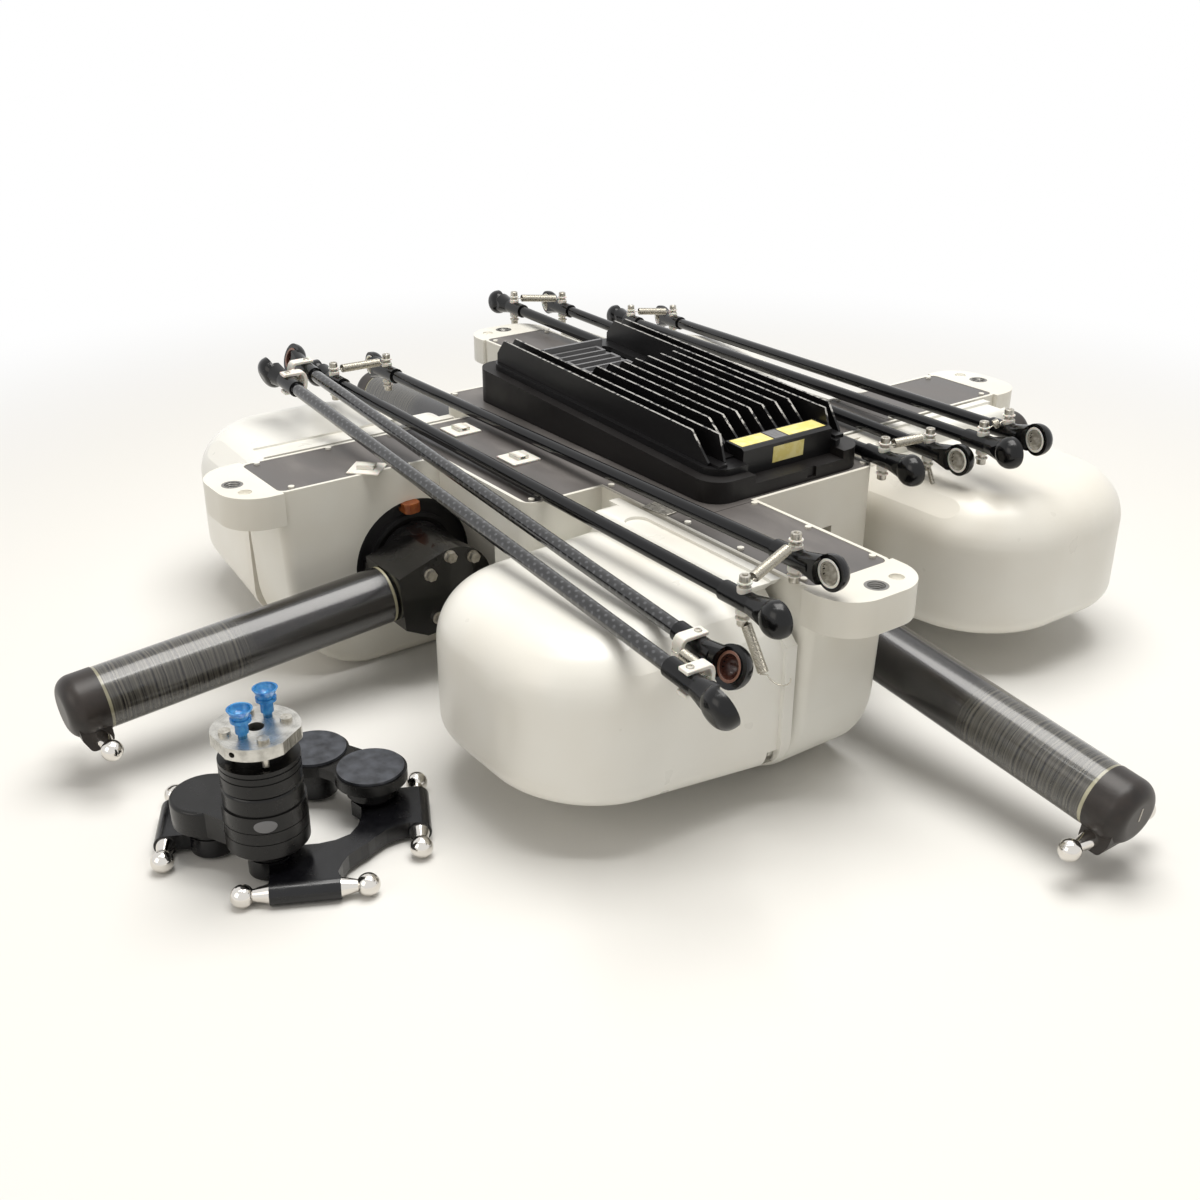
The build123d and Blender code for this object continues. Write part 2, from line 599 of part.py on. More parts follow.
def swap(shape):
    """Mirror image across the diagonal, which carries one bar of a half onto the other."""
    return mirror(shape, Plane(origin=(0, 0, 0), z_dir=(1, -1, 0)))


def plate_half():
    """V-shaped half of the travelling plate with two ball bars and two pivot seats."""
    low, high = BAR_SHIFT - 29, BAR_SHIFT + 29
    arm = [(50, low - 4), (90, low), (PLATE_REACH, low), (PLATE_REACH, high), (97, high - 2), (86, 39), (76, 44), (66, 54),
           (60, 61), (45, 46), (52, 33), (55, 19), (55, 6), (46, -6)]
    body = prism(arm, 5, 20) + swap(prism(arm, 5, 20)) + ball_bar() + swap(ball_bar())
    for x, y in (PIVOT_A, PIVOT_B):
        body = body + rod_z(x, y, 4, 21, 19.5)
    for x, y in (PIVOT_A, PIVOT_B):
        body = body - rod_z(x, y, 0, 30, 9)
    return body


def plate_studs():
    """Four ball studs of one plate half."""
    stud = Pos(PLATE_REACH, BAR_SHIFT, BAR_Z) * ball_stud(BALL_GAP / 2, 29)
    other = Pos(PLATE_REACH, BAR_SHIFT, BAR_Z) * Rot(0, 0, 180) * ball_stud(BALL_GAP / 2, 29)
    return [stud, other, swap(stud), swap(other)]


def opposite(shape):
    """The same part on the other half of the plate."""
    return Pos(HALF_SHIFT[0], HALF_SHIFT[1], 0) * Rot(0, 0, 180) * shape


PIVOT_C = (HALF_SHIFT[0] - PIVOT_B[0], HALF_SHIFT[1] - PIVOT_B[1])
PIVOT_D = (HALF_SHIFT[0] - PIVOT_A[0], HALF_SHIFT[1] - PIVOT_A[1])


def pivot_pin(x, y, top):
    """Pin pressed into a plate half, with a collar that carries the link."""
    return rod_z(x, y, 4, top, 9) + rod_z(x, y, 21, 22.5, 16)


def link_web(start, end, width, z0, z1):
    """Flat bar between two pivots."""
    run = (end[0] - start[0], end[1] - start[1])
    middle = Pos((start[0] + end[0]) / 2, (start[1] + end[1]) / 2, (z0 + z1) / 2)
    turn = Rot(0, 0, math.degrees(math.atan2(run[1], run[0])))
    return middle * turn * Box(math.hypot(*run), width, z1 - z0)


def gear_link():
    """Thick link with the gear case of the tool flange at one end and a lobe at the other."""
    lobe = rod_z(*PIVOT_C, 34, 58, 32)
    lobe = fillet(lobe.edges().filter_by(GeomType.CIRCLE).sort_by(Axis.Z)[-1], 3)
    case = rod_z(*PIVOT_A, 32, 76, 35)
    case = chamfer(case.edges().filter_by(GeomType.CIRCLE).sort_by(Axis.Z)[0], 4)
    neck = rod_z(*PIVOT_A, 75, 93, 33.5)
    neck = fillet(neck.edges().filter_by(GeomType.CIRCLE).sort_by(Axis.Z)[-1], 3)
    web = link_web(PIVOT_A, PIVOT_C, 50, 34, 58)
    collars = rod_z(*PIVOT_C, 22.8, 34, 20) + rod_z(*PIVOT_A, 22.8, 33, 18.5)
    body = lobe + case + neck + web + collars
    body = body - (rod_z(*PIVOT_C, 22, 52, 9.05) + rod_z(*PIVOT_A, 22, 60, 9.05))
    body = body - rod_z(*PIVOT_A, 62, 95, 30.3)
    seams = [rod_z(*PIVOT_A, z, z + 0.8, 40) - rod_z(*PIVOT_A, z - 1, z + 2, 34.4) for z in (49.6, 60.6)]
    for seam in seams:
        body = body - (seam - web)
    return body


def cover_link():
    """Thin link between the two pivots that have round covers."""
    body = rod_z(*PIVOT_B, 36, 46, 32.5) + rod_z(*PIVOT_D, 36, 46, 32.5)
    body = body + link_web(PIVOT_B, PIVOT_D, 44, 36, 46)
    for x, y in (PIVOT_B, PIVOT_D):
        body = body + rod_z(x, y, 22.8, 36, 23)
        body = body - rod_z(x, y, 22, 44, 9.05)
    return body


def disc_covers():
    """Round caps on top of the thin link."""
    return [rod_z(*PIVOT_B, 46, 48.5, 30), rod_z(*PIVOT_D, 46, 48.5, 30)]


def tool_flange():
    """Rotating output of the gear case."""
    flange = rod_z(*PIVOT_A, 63, 117, 30) + rod_z(*PIVOT_A, 94, 117, 33.5)
    flange = flange + rod_z(*PIVOT_A, 117, 131, 22)
    for z in (105.5, 112):
        flange = flange - (rod_z(*PIVOT_A, z, z + 1.2, 40) - rod_z(*PIVOT_A, z - 1, z + 2, 32.7))
    return flange - rod_z(*PIVOT_A, 62, 132, 7)


def around(centre, radius, degrees):
    """Point on a circle."""
    angle = math.radians(degrees)
    return centre[0] + radius * math.cos(angle), centre[1] + radius * math.sin(angle)


def adapter_plate():
    """Bright round plate with three flats, a centre hole and a radial set screw hole."""
    disc = rod_z(*PIVOT_A, 131, 142, 36.5)
    for index in range(3):
        disc = disc - Pos(PIVOT_A[0], PIVOT_A[1], 136) * Rot(0, 0, 60 + 120 * index) * slab(34, 50, -30, 30, -20, 20)
    disc = disc - rod_z(*PIVOT_A, 130, 143, 7)
    for index in range(4):
        x, y = around(PIVOT_A, 25, ADAPTER_TURN + 90 * index)
        disc = disc - rod_z(x, y, 130, 143, 3)
    hole = Pos(PIVOT_A[0], PIVOT_A[1], 136.5) * Rot(0, 0, ADAPTER_TURN - 45) * rod_x(20, 40, 0, 0, 2.5)
    return disc - hole


def adapter_screws():
    """Four button-head screws whose threads show under the adapter plate."""
    screws = []
    for index in range(4):
        x, y = around(PIVOT_A, 25, ADAPTER_TURN + 90 * index)
        screws.append(rod_z(x, y, 142, 145, 5) + rod_z(x, y, 119, 142, 3))
    return screws


def suction_cups():
    """Two small bellows cups on push-in stems."""
    cups = []
    for degrees in (150, 330):
        x, y = around(PIVOT_A, 18, degrees)
        cup = rod_z(x, y, 142, 147, 3.8) + rod_z(x, y, 147, 157.5, 5.4)
        cup = cup + rod_z(x, y, 157.5, 160.5, 8.6) + rod_z(x, y, 160.5, 163, 7.2)
        cup = cup + Pos(x, y, 163) * Cone(7.8, 10.5, 5.5, align=(Align.CENTER, Align.CENTER, Align.MIN))
        cups.append(cup - Pos(x, y, 171) * Sphere(9.2))
    return cups


def build_base():
    """Nodes of the base body."""
    save("base_casting", base_casting())
    save("deck_panels", deck_panels())
    save("housing_screws", housing_screws())
    for turn, side in enumerate(("front", "right", "back", "left")):
        save(f"motor_cover_{side}", spin(motor_cover(), turn))
    save("servo_motors", four(servo_motor))
    save("gearboxes", four(gearbox))
    save("hub_seals", four(seal_ring))
    save("arm_stops", four(stop_block))
    save("mounting_inserts", four(mounting_insert))
    save("amplifier_base", amplifier_base())
    save("amplifier_heat_sink", heat_sink())
    save("amplifier_connectors", amplifier_connectors())


def build_arms():
    """Nodes of the four arms."""
    for turn, side in enumerate(("front", "right", "back", "left")):
        save(f"arm_{side}_hub", place_arm(hub(), turn))
        save(f"arm_{side}_tube", place_arm(tube(), turn))
        save(f"arm_{side}_cap", place_arm(end_cap(), turn))
        save(f"arm_{side}_ball_studs", place_arm(arm_studs(), turn))
        save(f"arm_{side}_bolts", [place_arm(bolt, turn) for bolt in hub_bolts()])


def build_rods():
    """Nodes of the four pairs of outer rods."""
    for name, pair in ROD_PAIRS.items():
        tubes, ends, liners = [], [], []
        for index, rod in enumerate(pair):
            frame = rod_frame(rod)
            tubes.append(frame * rod_tube())
            face = 1 if index == 0 else -1
            older = name == "a"
            seat = frame * Rot(OLD_CUP_TILT * face, 0, 0) if older else frame
            ends += [seat * end for end in both_ends(socket_end(face, OLD_CUP_R if older else CUP_R))]
            liners += [seat * liner for liner in both_ends(cup_liner(face))]
        save(f"rods_{name}_tubes", tubes)
        save(f"rods_{name}_sockets", ends + liners)
        save(f"rods_{name}_springs", spring_hardware(pair, name == "a"))


def build_plate():
    """Nodes of the travelling plate."""
    save("plate_half_a", place_plate(plate_half()))
    save("plate_half_b", place_plate(opposite(plate_half())))
    save("plate_studs_a", [place_plate(stud) for stud in plate_studs()])
    save("plate_studs_b", [place_plate(opposite(stud)) for stud in plate_studs()])
    save("plate_pins_a", [place_plate(pivot_pin(*PIVOT_A, 58)), place_plate(pivot_pin(*PIVOT_B, 42))])
    save("plate_pins_b", [place_plate(pivot_pin(*PIVOT_C, 50)), place_plate(pivot_pin(*PIVOT_D, 42))])
    save("gear_link", place_plate(gear_link()))
    save("cover_link", place_plate(cover_link()))
    save("link_disc_covers", [place_plate(disc) for disc in disc_covers()])
    save("tool_flange", place_plate(tool_flange()))
    save("adapter_plate", place_plate(adapter_plate()))
    save("adapter_screws", [place_plate(screw) for screw in adapter_screws()])
    save("suction_cups", [place_plate(cup) for cup in suction_cups()])


os.makedirs("parts", exist_ok=True)
build_base()
build_arms()
build_rods()
build_plate()
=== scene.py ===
# %% [markdown]
# # A delta robot, laid out for storage
#
# The robot stands on its white base, with its inner arms drooping, its outer rods lying in pairs
# on the deck and its travelling plate upside down on the floor. The rigid shapes come from an
# engineering model, which this lesson loads first and never moves. We then dress it: every solid
# gets a finish worked out from the real material, and the small wound, sprung and turned parts
# are rebuilt as fine meshes in place of their plain stand-ins.

# %% Load the frame
import bpy
import bmesh
import json
import math
from mathutils import Matrix, Vector


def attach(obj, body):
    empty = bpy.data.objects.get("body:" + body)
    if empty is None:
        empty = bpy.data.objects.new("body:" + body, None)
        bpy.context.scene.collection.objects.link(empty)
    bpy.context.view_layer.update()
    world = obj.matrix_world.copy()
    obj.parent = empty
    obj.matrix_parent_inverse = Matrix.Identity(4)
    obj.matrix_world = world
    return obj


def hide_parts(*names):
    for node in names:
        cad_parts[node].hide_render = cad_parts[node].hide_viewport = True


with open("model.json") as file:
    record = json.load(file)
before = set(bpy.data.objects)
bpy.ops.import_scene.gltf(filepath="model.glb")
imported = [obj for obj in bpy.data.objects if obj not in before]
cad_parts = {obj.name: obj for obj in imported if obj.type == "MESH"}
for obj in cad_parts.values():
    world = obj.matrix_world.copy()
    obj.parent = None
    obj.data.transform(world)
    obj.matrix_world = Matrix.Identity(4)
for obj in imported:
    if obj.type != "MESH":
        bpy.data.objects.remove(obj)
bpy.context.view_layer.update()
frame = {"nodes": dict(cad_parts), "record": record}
slot_of = {part["node"]: part["material_slot"] for part in frame["record"]["subparts"]}

# %% [markdown]
# Everything here is in metres, but a robot drawing is in millimetres, so one constant turns
# drawing sizes into scene sizes. The deck height and the base's quarter turns come up again and
# again: each side of the base repeats the same wing, arm and cover.

# %% Sizes that the pieces share
MM = 0.001
DECK = 218.0
SIDES = ("front", "right", "back", "left")
DROOP = {"front": 6.9, "right": 4.0, "back": 2.0, "left": 4.5}
PIVOT = Vector((275.0, 0.0, 108.5))


def quarter(turn):
    """Rotation of the base's front quarter onto another side."""
    return Matrix.Rotation(math.radians(90 * turn), 4, "Z")


def at(x, y, z):
    """Translation by a place on the drawing, in millimetres."""
    return Matrix.Translation(Vector((x, y, z)))


def turned_by(degrees, axis):
    """Rotation about an axis through the origin."""
    return Matrix.Rotation(math.radians(degrees), 4, axis)


print("deck at", DECK * MM, "m")

# %% [markdown]
# The camera stands a little above the deck, off one corner of the base. Its lens is a normal
# one: long lenses flatten a machine and wide ones stretch its near corner.

# %% Camera
lens = bpy.data.cameras.new("camera")
lens.sensor_width = 36.0
lens.lens = 41.85
camera = bpy.data.objects.new("camera", lens)
bpy.context.scene.collection.objects.link(camera)
camera.location = (1.17965, -0.92774, 0.72208)
camera.rotation_euler = [math.radians(angle) for angle in (64.3335, -0.1631, 53.809)]
bpy.context.scene.camera = camera
print("camera at", tuple(round(value, 3) for value in camera.location))

# %% [markdown]
# ## Paint, metal and plastic
#
# A finish is a Principled shader plus whatever makes its surface uneven. Colours are written as
# the hex values that a paint chart gives, so one function turns them into linear light. A second
# small function adds a node, sets it up and wires it in a single call, which keeps every finish
# below short enough to read.

# %% Helpers for finishes
def linear(code):
    """Linear colour of an sRGB hex code."""
    parts = [int(code[index:index + 2], 16) / 255 for index in (0, 2, 4)]
    return [part / 12.92 if part <= 0.04045 else ((part + 0.055) / 1.055) ** 2.4 for part in parts] + [1.0]


def add(tree, kind, sockets=None, **settings):
    """Adds a shader node with its settings, values and links, and returns it."""
    made = tree.nodes.new("ShaderNode" + kind)
    for name, value in settings.items():
        setattr(made, name, value)
    for name, value in (sockets or {}).items():
        if isinstance(value, bpy.types.NodeSocket):
            tree.links.new(value, made.inputs[name])
        else:
            made.inputs[name].default_value = value
    return made


def finish(name, colour, roughness, metallic=0.0, **more):
    """A material with a Principled shader: returns it, its tree and the shader."""
    made = bpy.data.materials.new(name)
    made.use_nodes = True
    tree = made.node_tree
    shader = tree.nodes["Principled BSDF"]
    shader.inputs["Base Color"].default_value = linear(colour)
    shader.inputs["Roughness"].default_value = roughness
    shader.inputs["Metallic"].default_value = metallic
    for key, value in more.items():
        shader.inputs[key.replace("_", " ").title().replace("Ior", "IOR")].default_value = value
    return made, tree, shader


def stops(tree, factor, *marks):
    """Colour ramp through (place, hex) marks; returns its colour."""
    ramp = add(tree, "ValToRGB", {"Fac": factor})
    for index, (place, code) in enumerate(marks):
        mark = ramp.color_ramp.elements[index] if index < 2 else ramp.color_ramp.elements.new(place)
        mark.position = place
        mark.color = linear(code)
    return ramp.outputs["Color"]


def paint(tree, shader, factor, *marks):
    """Base colour that runs through (place, hex) marks with a pattern."""
    tree.links.new(stops(tree, factor, *marks), shader.inputs["Base Color"])


def reckon(tree, operation, first, second):
    """Result of one sum on two values."""
    return add(tree, "Math", {0: first, 1: second}, operation=operation).outputs[0]


def rise(tree, value, start, end):
    """Goes from 0 to 1 as a value goes from start to end."""
    return add(tree, "MapRange", {"Value": value, "From Min": start, "From Max": end}).outputs[0]


def blotches(tree, size_mm, detail=3.0, stretch=(1, 1, 1), where=None):
    """Noise whose patches are about size_mm across, in the object's own frame."""
    place = where or add(tree, "TexCoord").outputs["Object"]
    spread = add(tree, "Mapping", {"Vector": place, "Scale": stretch}).outputs["Vector"]
    noise = add(tree, "TexNoise", {"Vector": spread, "Scale": 1 / (size_mm * MM), "Detail": detail})
    return noise.outputs["Fac"]


def vary(tree, shader, factor, low, high):
    """Roughness that runs from low to high with a pattern."""
    limits = {"Value": factor, "From Min": 0.3, "From Max": 0.7, "To Min": low, "To Max": high}
    spread = add(tree, "MapRange", limits)
    tree.links.new(spread.outputs["Result"], shader.inputs["Roughness"])


def relief(tree, shader, height, depth_mm, strength=1.0):
    """Bump of a given depth from a pattern."""
    bump = add(tree, "Bump", {"Height": height, "Distance": depth_mm * MM, "Strength": strength})
    tree.links.new(bump.outputs["Normal"], shader.inputs["Normal"])


print("warm white in linear light", [round(value, 3) for value in linear("E9E6DC")[:3]])

# %% [markdown]
# The base is cast aluminium under a satin powder coat: it melts on in the oven and leaves a
# faint orange peel, a ripple about two millimetres across. Handling leaves very faint warm marks.
# The motor covers are laid-up plastic with a smoother, slightly shinier gel coat of the same white.

# %% White finishes
powder_coat, tree, shader = finish("powder_coated_casting", "E7E5DE", 0.38, ior=1.5)
paint(tree, shader, blotches(tree, 160), (0.35, "E0DCD1"), (0.62, "E9E8E1"))
vary(tree, shader, blotches(tree, 60), 0.32, 0.46)
relief(tree, shader, blotches(tree, 2.2, 1.0), 0.02)

gel_coat, tree, shader = finish(
    "gel_coated_cover", "E7E4DA", 0.3, ior=1.5, coat_weight=0.25, coat_roughness=0.2)
paint(tree, shader, blotches(tree, 220), (0.35, "E3DFD5"), (0.62, "EBEAE4"))
vary(tree, shader, blotches(tree, 45), 0.27, 0.4)
relief(tree, shader, blotches(tree, 6.0, 1.0), 0.015)
print(powder_coat.name, gel_coat.name)

# %% [markdown]
# The deck panels are sheet metal painted mid grey. Tools and rods have been laid on them, so the
# satin paint is burnished in long smears.

# %% Grey panel paint
panel_paint, tree, shader = finish("scuffed_grey_paint", "5F5B59", 0.45, ior=1.5)
smear = blotches(tree, 70, 5.0, (0.5, 1.6, 1.0))
paint(tree, shader, smear, (0.3, "4B4846"), (0.55, "5E5A58"), (0.75, "777370"))
vary(tree, shader, smear, 0.3, 0.55)
relief(tree, shader, blotches(tree, 1.5, 1.0), 0.01)
print(panel_paint.name)

# %% [markdown]
# Black parts differ in how they were made. The hubs are enamelled, deep and shiny. The plate,
# links and flange are hard anodised: the oxide grows out of the metal, so it is satin and shows a
# grey sheen. The caps have a dark brownish textured coat.

# %% Black finishes
enamel, tree, shader = finish("black_enamel", "0B0A0A", 0.2, ior=1.5, coat_weight=0.3, coat_roughness=0.08)
vary(tree, shader, blotches(tree, 25), 0.16, 0.32)
relief(tree, shader, blotches(tree, 3.0, 1.0), 0.02)

anodised, tree, shader = finish("black_anodised_aluminium", "0B0B0E", 0.22, specular_ior_level=0.45)
vary(tree, shader, blotches(tree, 14, 5.0), 0.16, 0.3)
relief(tree, shader, blotches(tree, 0.9, 2.0), 0.004)

link_coat, tree, shader = finish("satin_anodised_link", "0C0B0A", 0.28, specular_ior_level=0.35)
vary(tree, shader, blotches(tree, 22, 5.0), 0.2, 0.38)
relief(tree, shader, blotches(tree, 1.2, 2.0), 0.01)

rod_lacquer, tree, shader = finish("lacquered_black_rod", "08080A", 0.13, specular_ior_level=0.3)
vary(tree, shader, blotches(tree, 30, 3.0, (0.3, 1, 1)), 0.08, 0.18)
relief(tree, shader, blotches(tree, 3.0, 1.0, (0.4, 1, 1)), 0.01)

cap_coat, tree, shader = finish("textured_cap_coat", "221C19", 0.38, specular_ior_level=0.4)
paint(tree, shader, blotches(tree, 18), (0.35, "1E1916"), (0.65, "2C2521"))
relief(tree, shader, blotches(tree, 1.6, 2.0), 0.03)

# Pressed discs: their lighter blue-grey blotches are painted glare, and the same blotches also vary the
# roughness.
disc_coat, tree, shader = finish("pressed_disc_painted_glare", "2C2E31", 0.4, 0.2)
painted_glare_and_haze = blotches(tree, 12, 6.0)
paint(tree, shader, painted_glare_and_haze, (0.35, "33353A"), (0.7, "50535A"))
vary(tree, shader, painted_glare_and_haze, 0.3, 0.5)
print([made.name for made in (enamel, anodised, link_coat, cap_coat, disc_coat)])

# %% [markdown]
# Bare metal takes nearly all its look from reflections, so its colour is light and its roughness
# does the work: chrome is a mirror, zinc plating is cloudy, and ground steel is streaked.

# %% Metals
chrome, tree, shader = finish("polished_chrome", "D9D5CF", 0.08, 1.0)
vary(tree, shader, blotches(tree, 9, 4.0), 0.05, 0.14)

zinc, tree, shader = finish("zinc_plated_steel", "BAB6AC", 0.34, 1.0)
paint(tree, shader, blotches(tree, 4, 3.0), (0.35, "A8A398"), (0.7, "C9C5BC"))
vary(tree, shader, blotches(tree, 2.5, 3.0), 0.25, 0.45)

ground_steel, tree, shader = finish("ground_steel", "8C8A86", 0.35, 1.0)
vary(tree, shader, blotches(tree, 3, 4.0, (1, 1, 6)), 0.25, 0.45)

spring_wire, tree, shader = finish("drawn_spring_wire", "B9B4A8", 0.28, 1.0)
vary(tree, shader, blotches(tree, 3, 2.0), 0.2, 0.36)
print([made.name for made in (chrome, zinc, ground_steel, spring_wire)])

# %% [markdown]
# Plastics and rubbers: black moulded nylon for the rod ends, white acetal washers and hooks, a
# black seal lip, amber urethane stops, and a socket liner that is white on most rods but brown
# on the oldest pair.

# %% Plastics and rubbers
nylon, tree, shader = finish("moulded_black_nylon", "0A0A0B", 0.2, specular_ior_level=0.35)
vary(tree, shader, blotches(tree, 20), 0.14, 0.26)
relief(tree, shader, blotches(tree, 5.0, 1.0), 0.02)

acetal, tree, shader = finish("white_acetal", "E6E3DB", 0.45, ior=1.48, subsurface_weight=0.15)
shader.inputs["Subsurface Scale"].default_value = 0.003
vary(tree, shader, blotches(tree, 8), 0.38, 0.52)

brown_liner, tree, shader = finish("brown_bearing_liner", "4A2C24", 0.25, ior=1.5)
vary(tree, shader, blotches(tree, 6), 0.18, 0.34)

brown_rim, tree, shader = finish("worn_brown_rim", "7A5546", 0.35, ior=1.5)
vary(tree, shader, blotches(tree, 5), 0.28, 0.45)

grey_liner, tree, shader = finish("grey_bearing_liner", "B4B0A6", 0.3, ior=1.5)
paint(tree, shader, blotches(tree, 3.5), (0.4, "A19C90"), (0.65, "C6C3BA"))

seal_rubber, tree, shader = finish("black_seal_rubber", "121112", 0.5, ior=1.5)
relief(tree, shader, blotches(tree, 2.0), 0.02)

urethane, tree, shader = finish("amber_urethane", "8A4A22", 0.35, ior=1.5, subsurface_weight=0.1)
paint(tree, shader, blotches(tree, 6), (0.4, "7A3D1B"), (0.7, "9C5A2C"))

pale_ink, tree, shader = finish("pale_ink", "B9B4AA", 0.5)
vary(tree, shader, blotches(tree, 3), 0.42, 0.58)

grey_plastic, tree, shader = finish("grey_moulded_plastic", "6E6E70", 0.45, ior=1.5)
vary(tree, shader, blotches(tree, 6), 0.38, 0.52)
print([made.name for made in (nylon, acetal, brown_liner, grey_liner, seal_rubber, urethane, grey_plastic)])

# %% [markdown]
# Carbon tube is wound or woven, and both need a direction. The inner arms are wound: tow runs
# round the tube like thread on a bobbin, under a thick clear resin, with a pale bead of glue
# where the tube meets the hub and the cap. On the outer half of each arm the turns run from near
# black to pale grey: the turns are real, and the pale grey along them is painted sheen. We read
# the distance along an arm from the CAD frame, so each arm has its own copy that knows its droop
# and its side of the base.

# %% Wound carbon for the four inner arms
def wound_carbon(side, turn):
    """Hoop-wound tube finish for one arm, with painted sheen in pale grey along the real turns of its outer
    half, and glue beads at both ends.
    """
    made, tree, shader = finish("wound_carbon_" + side, "141212", 0.26, coat_weight=0.6, coat_roughness=0.12)
    place = add(tree, "TexCoord").outputs["Object"]
    pose = quarter(turn) @ Matrix.Translation(PIVOT * MM) @ turned_by(DROOP[side], "Y")
    undo = pose.inverted()
    bearing = undo.to_euler()
    local = add(tree, "Mapping", {"Vector": place, "Location": undo.to_translation(), "Rotation": bearing})
    here = local.outputs["Vector"]
    along = add(tree, "SeparateXYZ", {"Vector": here}).outputs["X"]
    tow = add(tree, "TexNoise", {"Vector": here, "Scale": 30.0, "Detail": 2.0})
    wander = reckon(tree, "MULTIPLY", tow.outputs["Fac"], 0.004)
    wound = reckon(tree, "ADD", along, wander)
    turns = add(tree, "TexNoise", {"W": wound, "Scale": 1 / (2.4 * MM), "Detail": 4.0}, noise_dimensions="1D")
    # Colour through the turns, from near black to pale grey: painted sheen along real winding rings.
    painted_sheen = stops(tree, turns.outputs["Fac"], (0.36, "100E0C"), (0.46, "3A3833"), (0.68, "57544C"))
    mottle = stops(tree, blotches(tree, 13, 4.0, where=here), (0.4, "0F0D0D"), (0.7, "1D1918"))
    # From about 0.23 m out the arm takes the painted sheen, and nearer the hub it keeps the dark mottle.
    outer = rise(tree, wound, 0.215, 0.24)
    mixed = add(tree, "Mix", {"Factor": outer, 6: mottle, 7: painted_sheen}, data_type="RGBA")
    inner_bead = rise(tree, wound, 0.0695, 0.0685)
    outer_bead = rise(tree, wound, 0.3606, 0.3614)
    bead = reckon(tree, "MAXIMUM", inner_bead, outer_bead)
    glue = stops(tree, tow.outputs["Fac"], (0.35, "77735F"), (0.65, "ACA78C"))
    final = add(tree, "Mix", {"Factor": bead, 6: mixed.outputs[2], 7: glue}, data_type="RGBA")
    tree.links.new(final.outputs[2], shader.inputs["Base Color"])
    relief(tree, shader, turns.outputs["Fac"], 0.12, 0.5)
    return made


wound = {side: wound_carbon(side, turn) for turn, side in enumerate(SIDES)}
print([made.name for made in wound.values()])

# %% [markdown]
# The outer rods of the oldest pair are woven cloth instead. Two sets of bands cross at an angle,
# and where they meet the tow goes over or under, so the product of the two waves gives the twill.

# %% Woven carbon for the oldest rods
woven, tree, shader = finish("woven_carbon_rod", "141416", 0.2, ior=1.5, coat_weight=0.6, coat_roughness=0.06)
place = add(tree, "TexCoord").outputs["Object"]
bands = []
for lean in (1.0, -1.0):
    slanted = add(tree, "Mapping", {"Vector": place, "Scale": (1.0, lean, 0.6 * lean)}).outputs["Vector"]
    wave = {"Vector": slanted, "Scale": 62.0, "Distortion": 0.4}
    bands.append(add(tree, "TexWave", wave, bands_direction="DIAGONAL").outputs["Fac"])
twill = reckon(tree, "MULTIPLY", bands[0], bands[1])
paint(tree, shader, twill, (0.1, "0B0B0C"), (0.45, "1B1B1D"), (0.8, "4A4B4E"))
relief(tree, shader, twill, 0.05, 0.5)
print(woven.name)

# %% [markdown]
# The amplifier on the deck is a die-cast box under a finned heat sink. Both are black, but the
# sink is anodised and its thin fin edges have been rubbed bright by everything laid on them. So
# the finish goes light near the fin tips, where a face looks up or along a fin rather than
# sideways. The sink rises towards the rear, so height is measured from its sloping underside.

# %% Amplifier finishes
SINK_SLOPE = 18 / 437            # rise of the amplifier towards the rear
box_black, tree, shader = finish("die_cast_black", "0F0C0B", 0.45, specular_ior_level=0.3)
vary(tree, shader, blotches(tree, 40), 0.4, 0.58)
relief(tree, shader, blotches(tree, 1.2, 1.0), 0.03)

sink_black, tree, shader = finish("anodised_heat_sink", "0E0D0E", 0.34, specular_ior_level=0.35)
normal = add(tree, "NewGeometry").outputs["Normal"]
facing = add(tree, "SeparateXYZ", {"Vector": normal})
spot = add(tree, "SeparateXYZ", {"Vector": add(tree, "TexCoord").outputs["Object"]})
uphill = reckon(tree, "MULTIPLY", spot.outputs["X"], SINK_SLOPE)
level = reckon(tree, "ADD", spot.outputs["Z"], uphill)
flat = reckon(tree, "MULTIPLY", facing.outputs["Y"], facing.outputs["Y"])
edge = rise(tree, flat, 0.4, 0.1)
underside = 0.24 + 0.232 * SINK_SLOPE
high = rise(tree, level, underside + 0.022, underside + 0.028)
chipped = rise(tree, blotches(tree, 5, 4.0), 0.42, 0.5)
worn = reckon(tree, "MULTIPLY", edge, high)
worn = reckon(tree, "MULTIPLY", worn, chipped)
rubbed = add(tree, "Mix", {"Factor": worn, 6: linear("0E0D0E"), 7: linear("B9B6B0")}, data_type="RGBA")
tree.links.new(rubbed.outputs[2], shader.inputs["Base Color"])
tree.links.new(worn, shader.inputs["Metallic"])

blank_label, tree, shader = finish("blank_yellow_label", "EBDD8C", 0.45, ior=1.5)
paint(tree, shader, blotches(tree, 8), (0.4, "E4D47C"), (0.65, "EFE3A0"))
print(box_black.name, sink_black.name, blank_label.name)

# %% [markdown]
# The adapter plate is turned aluminium: the lathe leaves fine rings round its centre, which pull
# every highlight into a fan. Rings are drawn from the distance to the tool axis. The cups are
# soft silicone, so light goes into them and comes back out blue.

# %% Tool finishes
PLATE = at(190, -532, 0) @ turned_by(-27, "Z")
TOOL_AXIS = PLATE @ Vector((60, -21, 0))

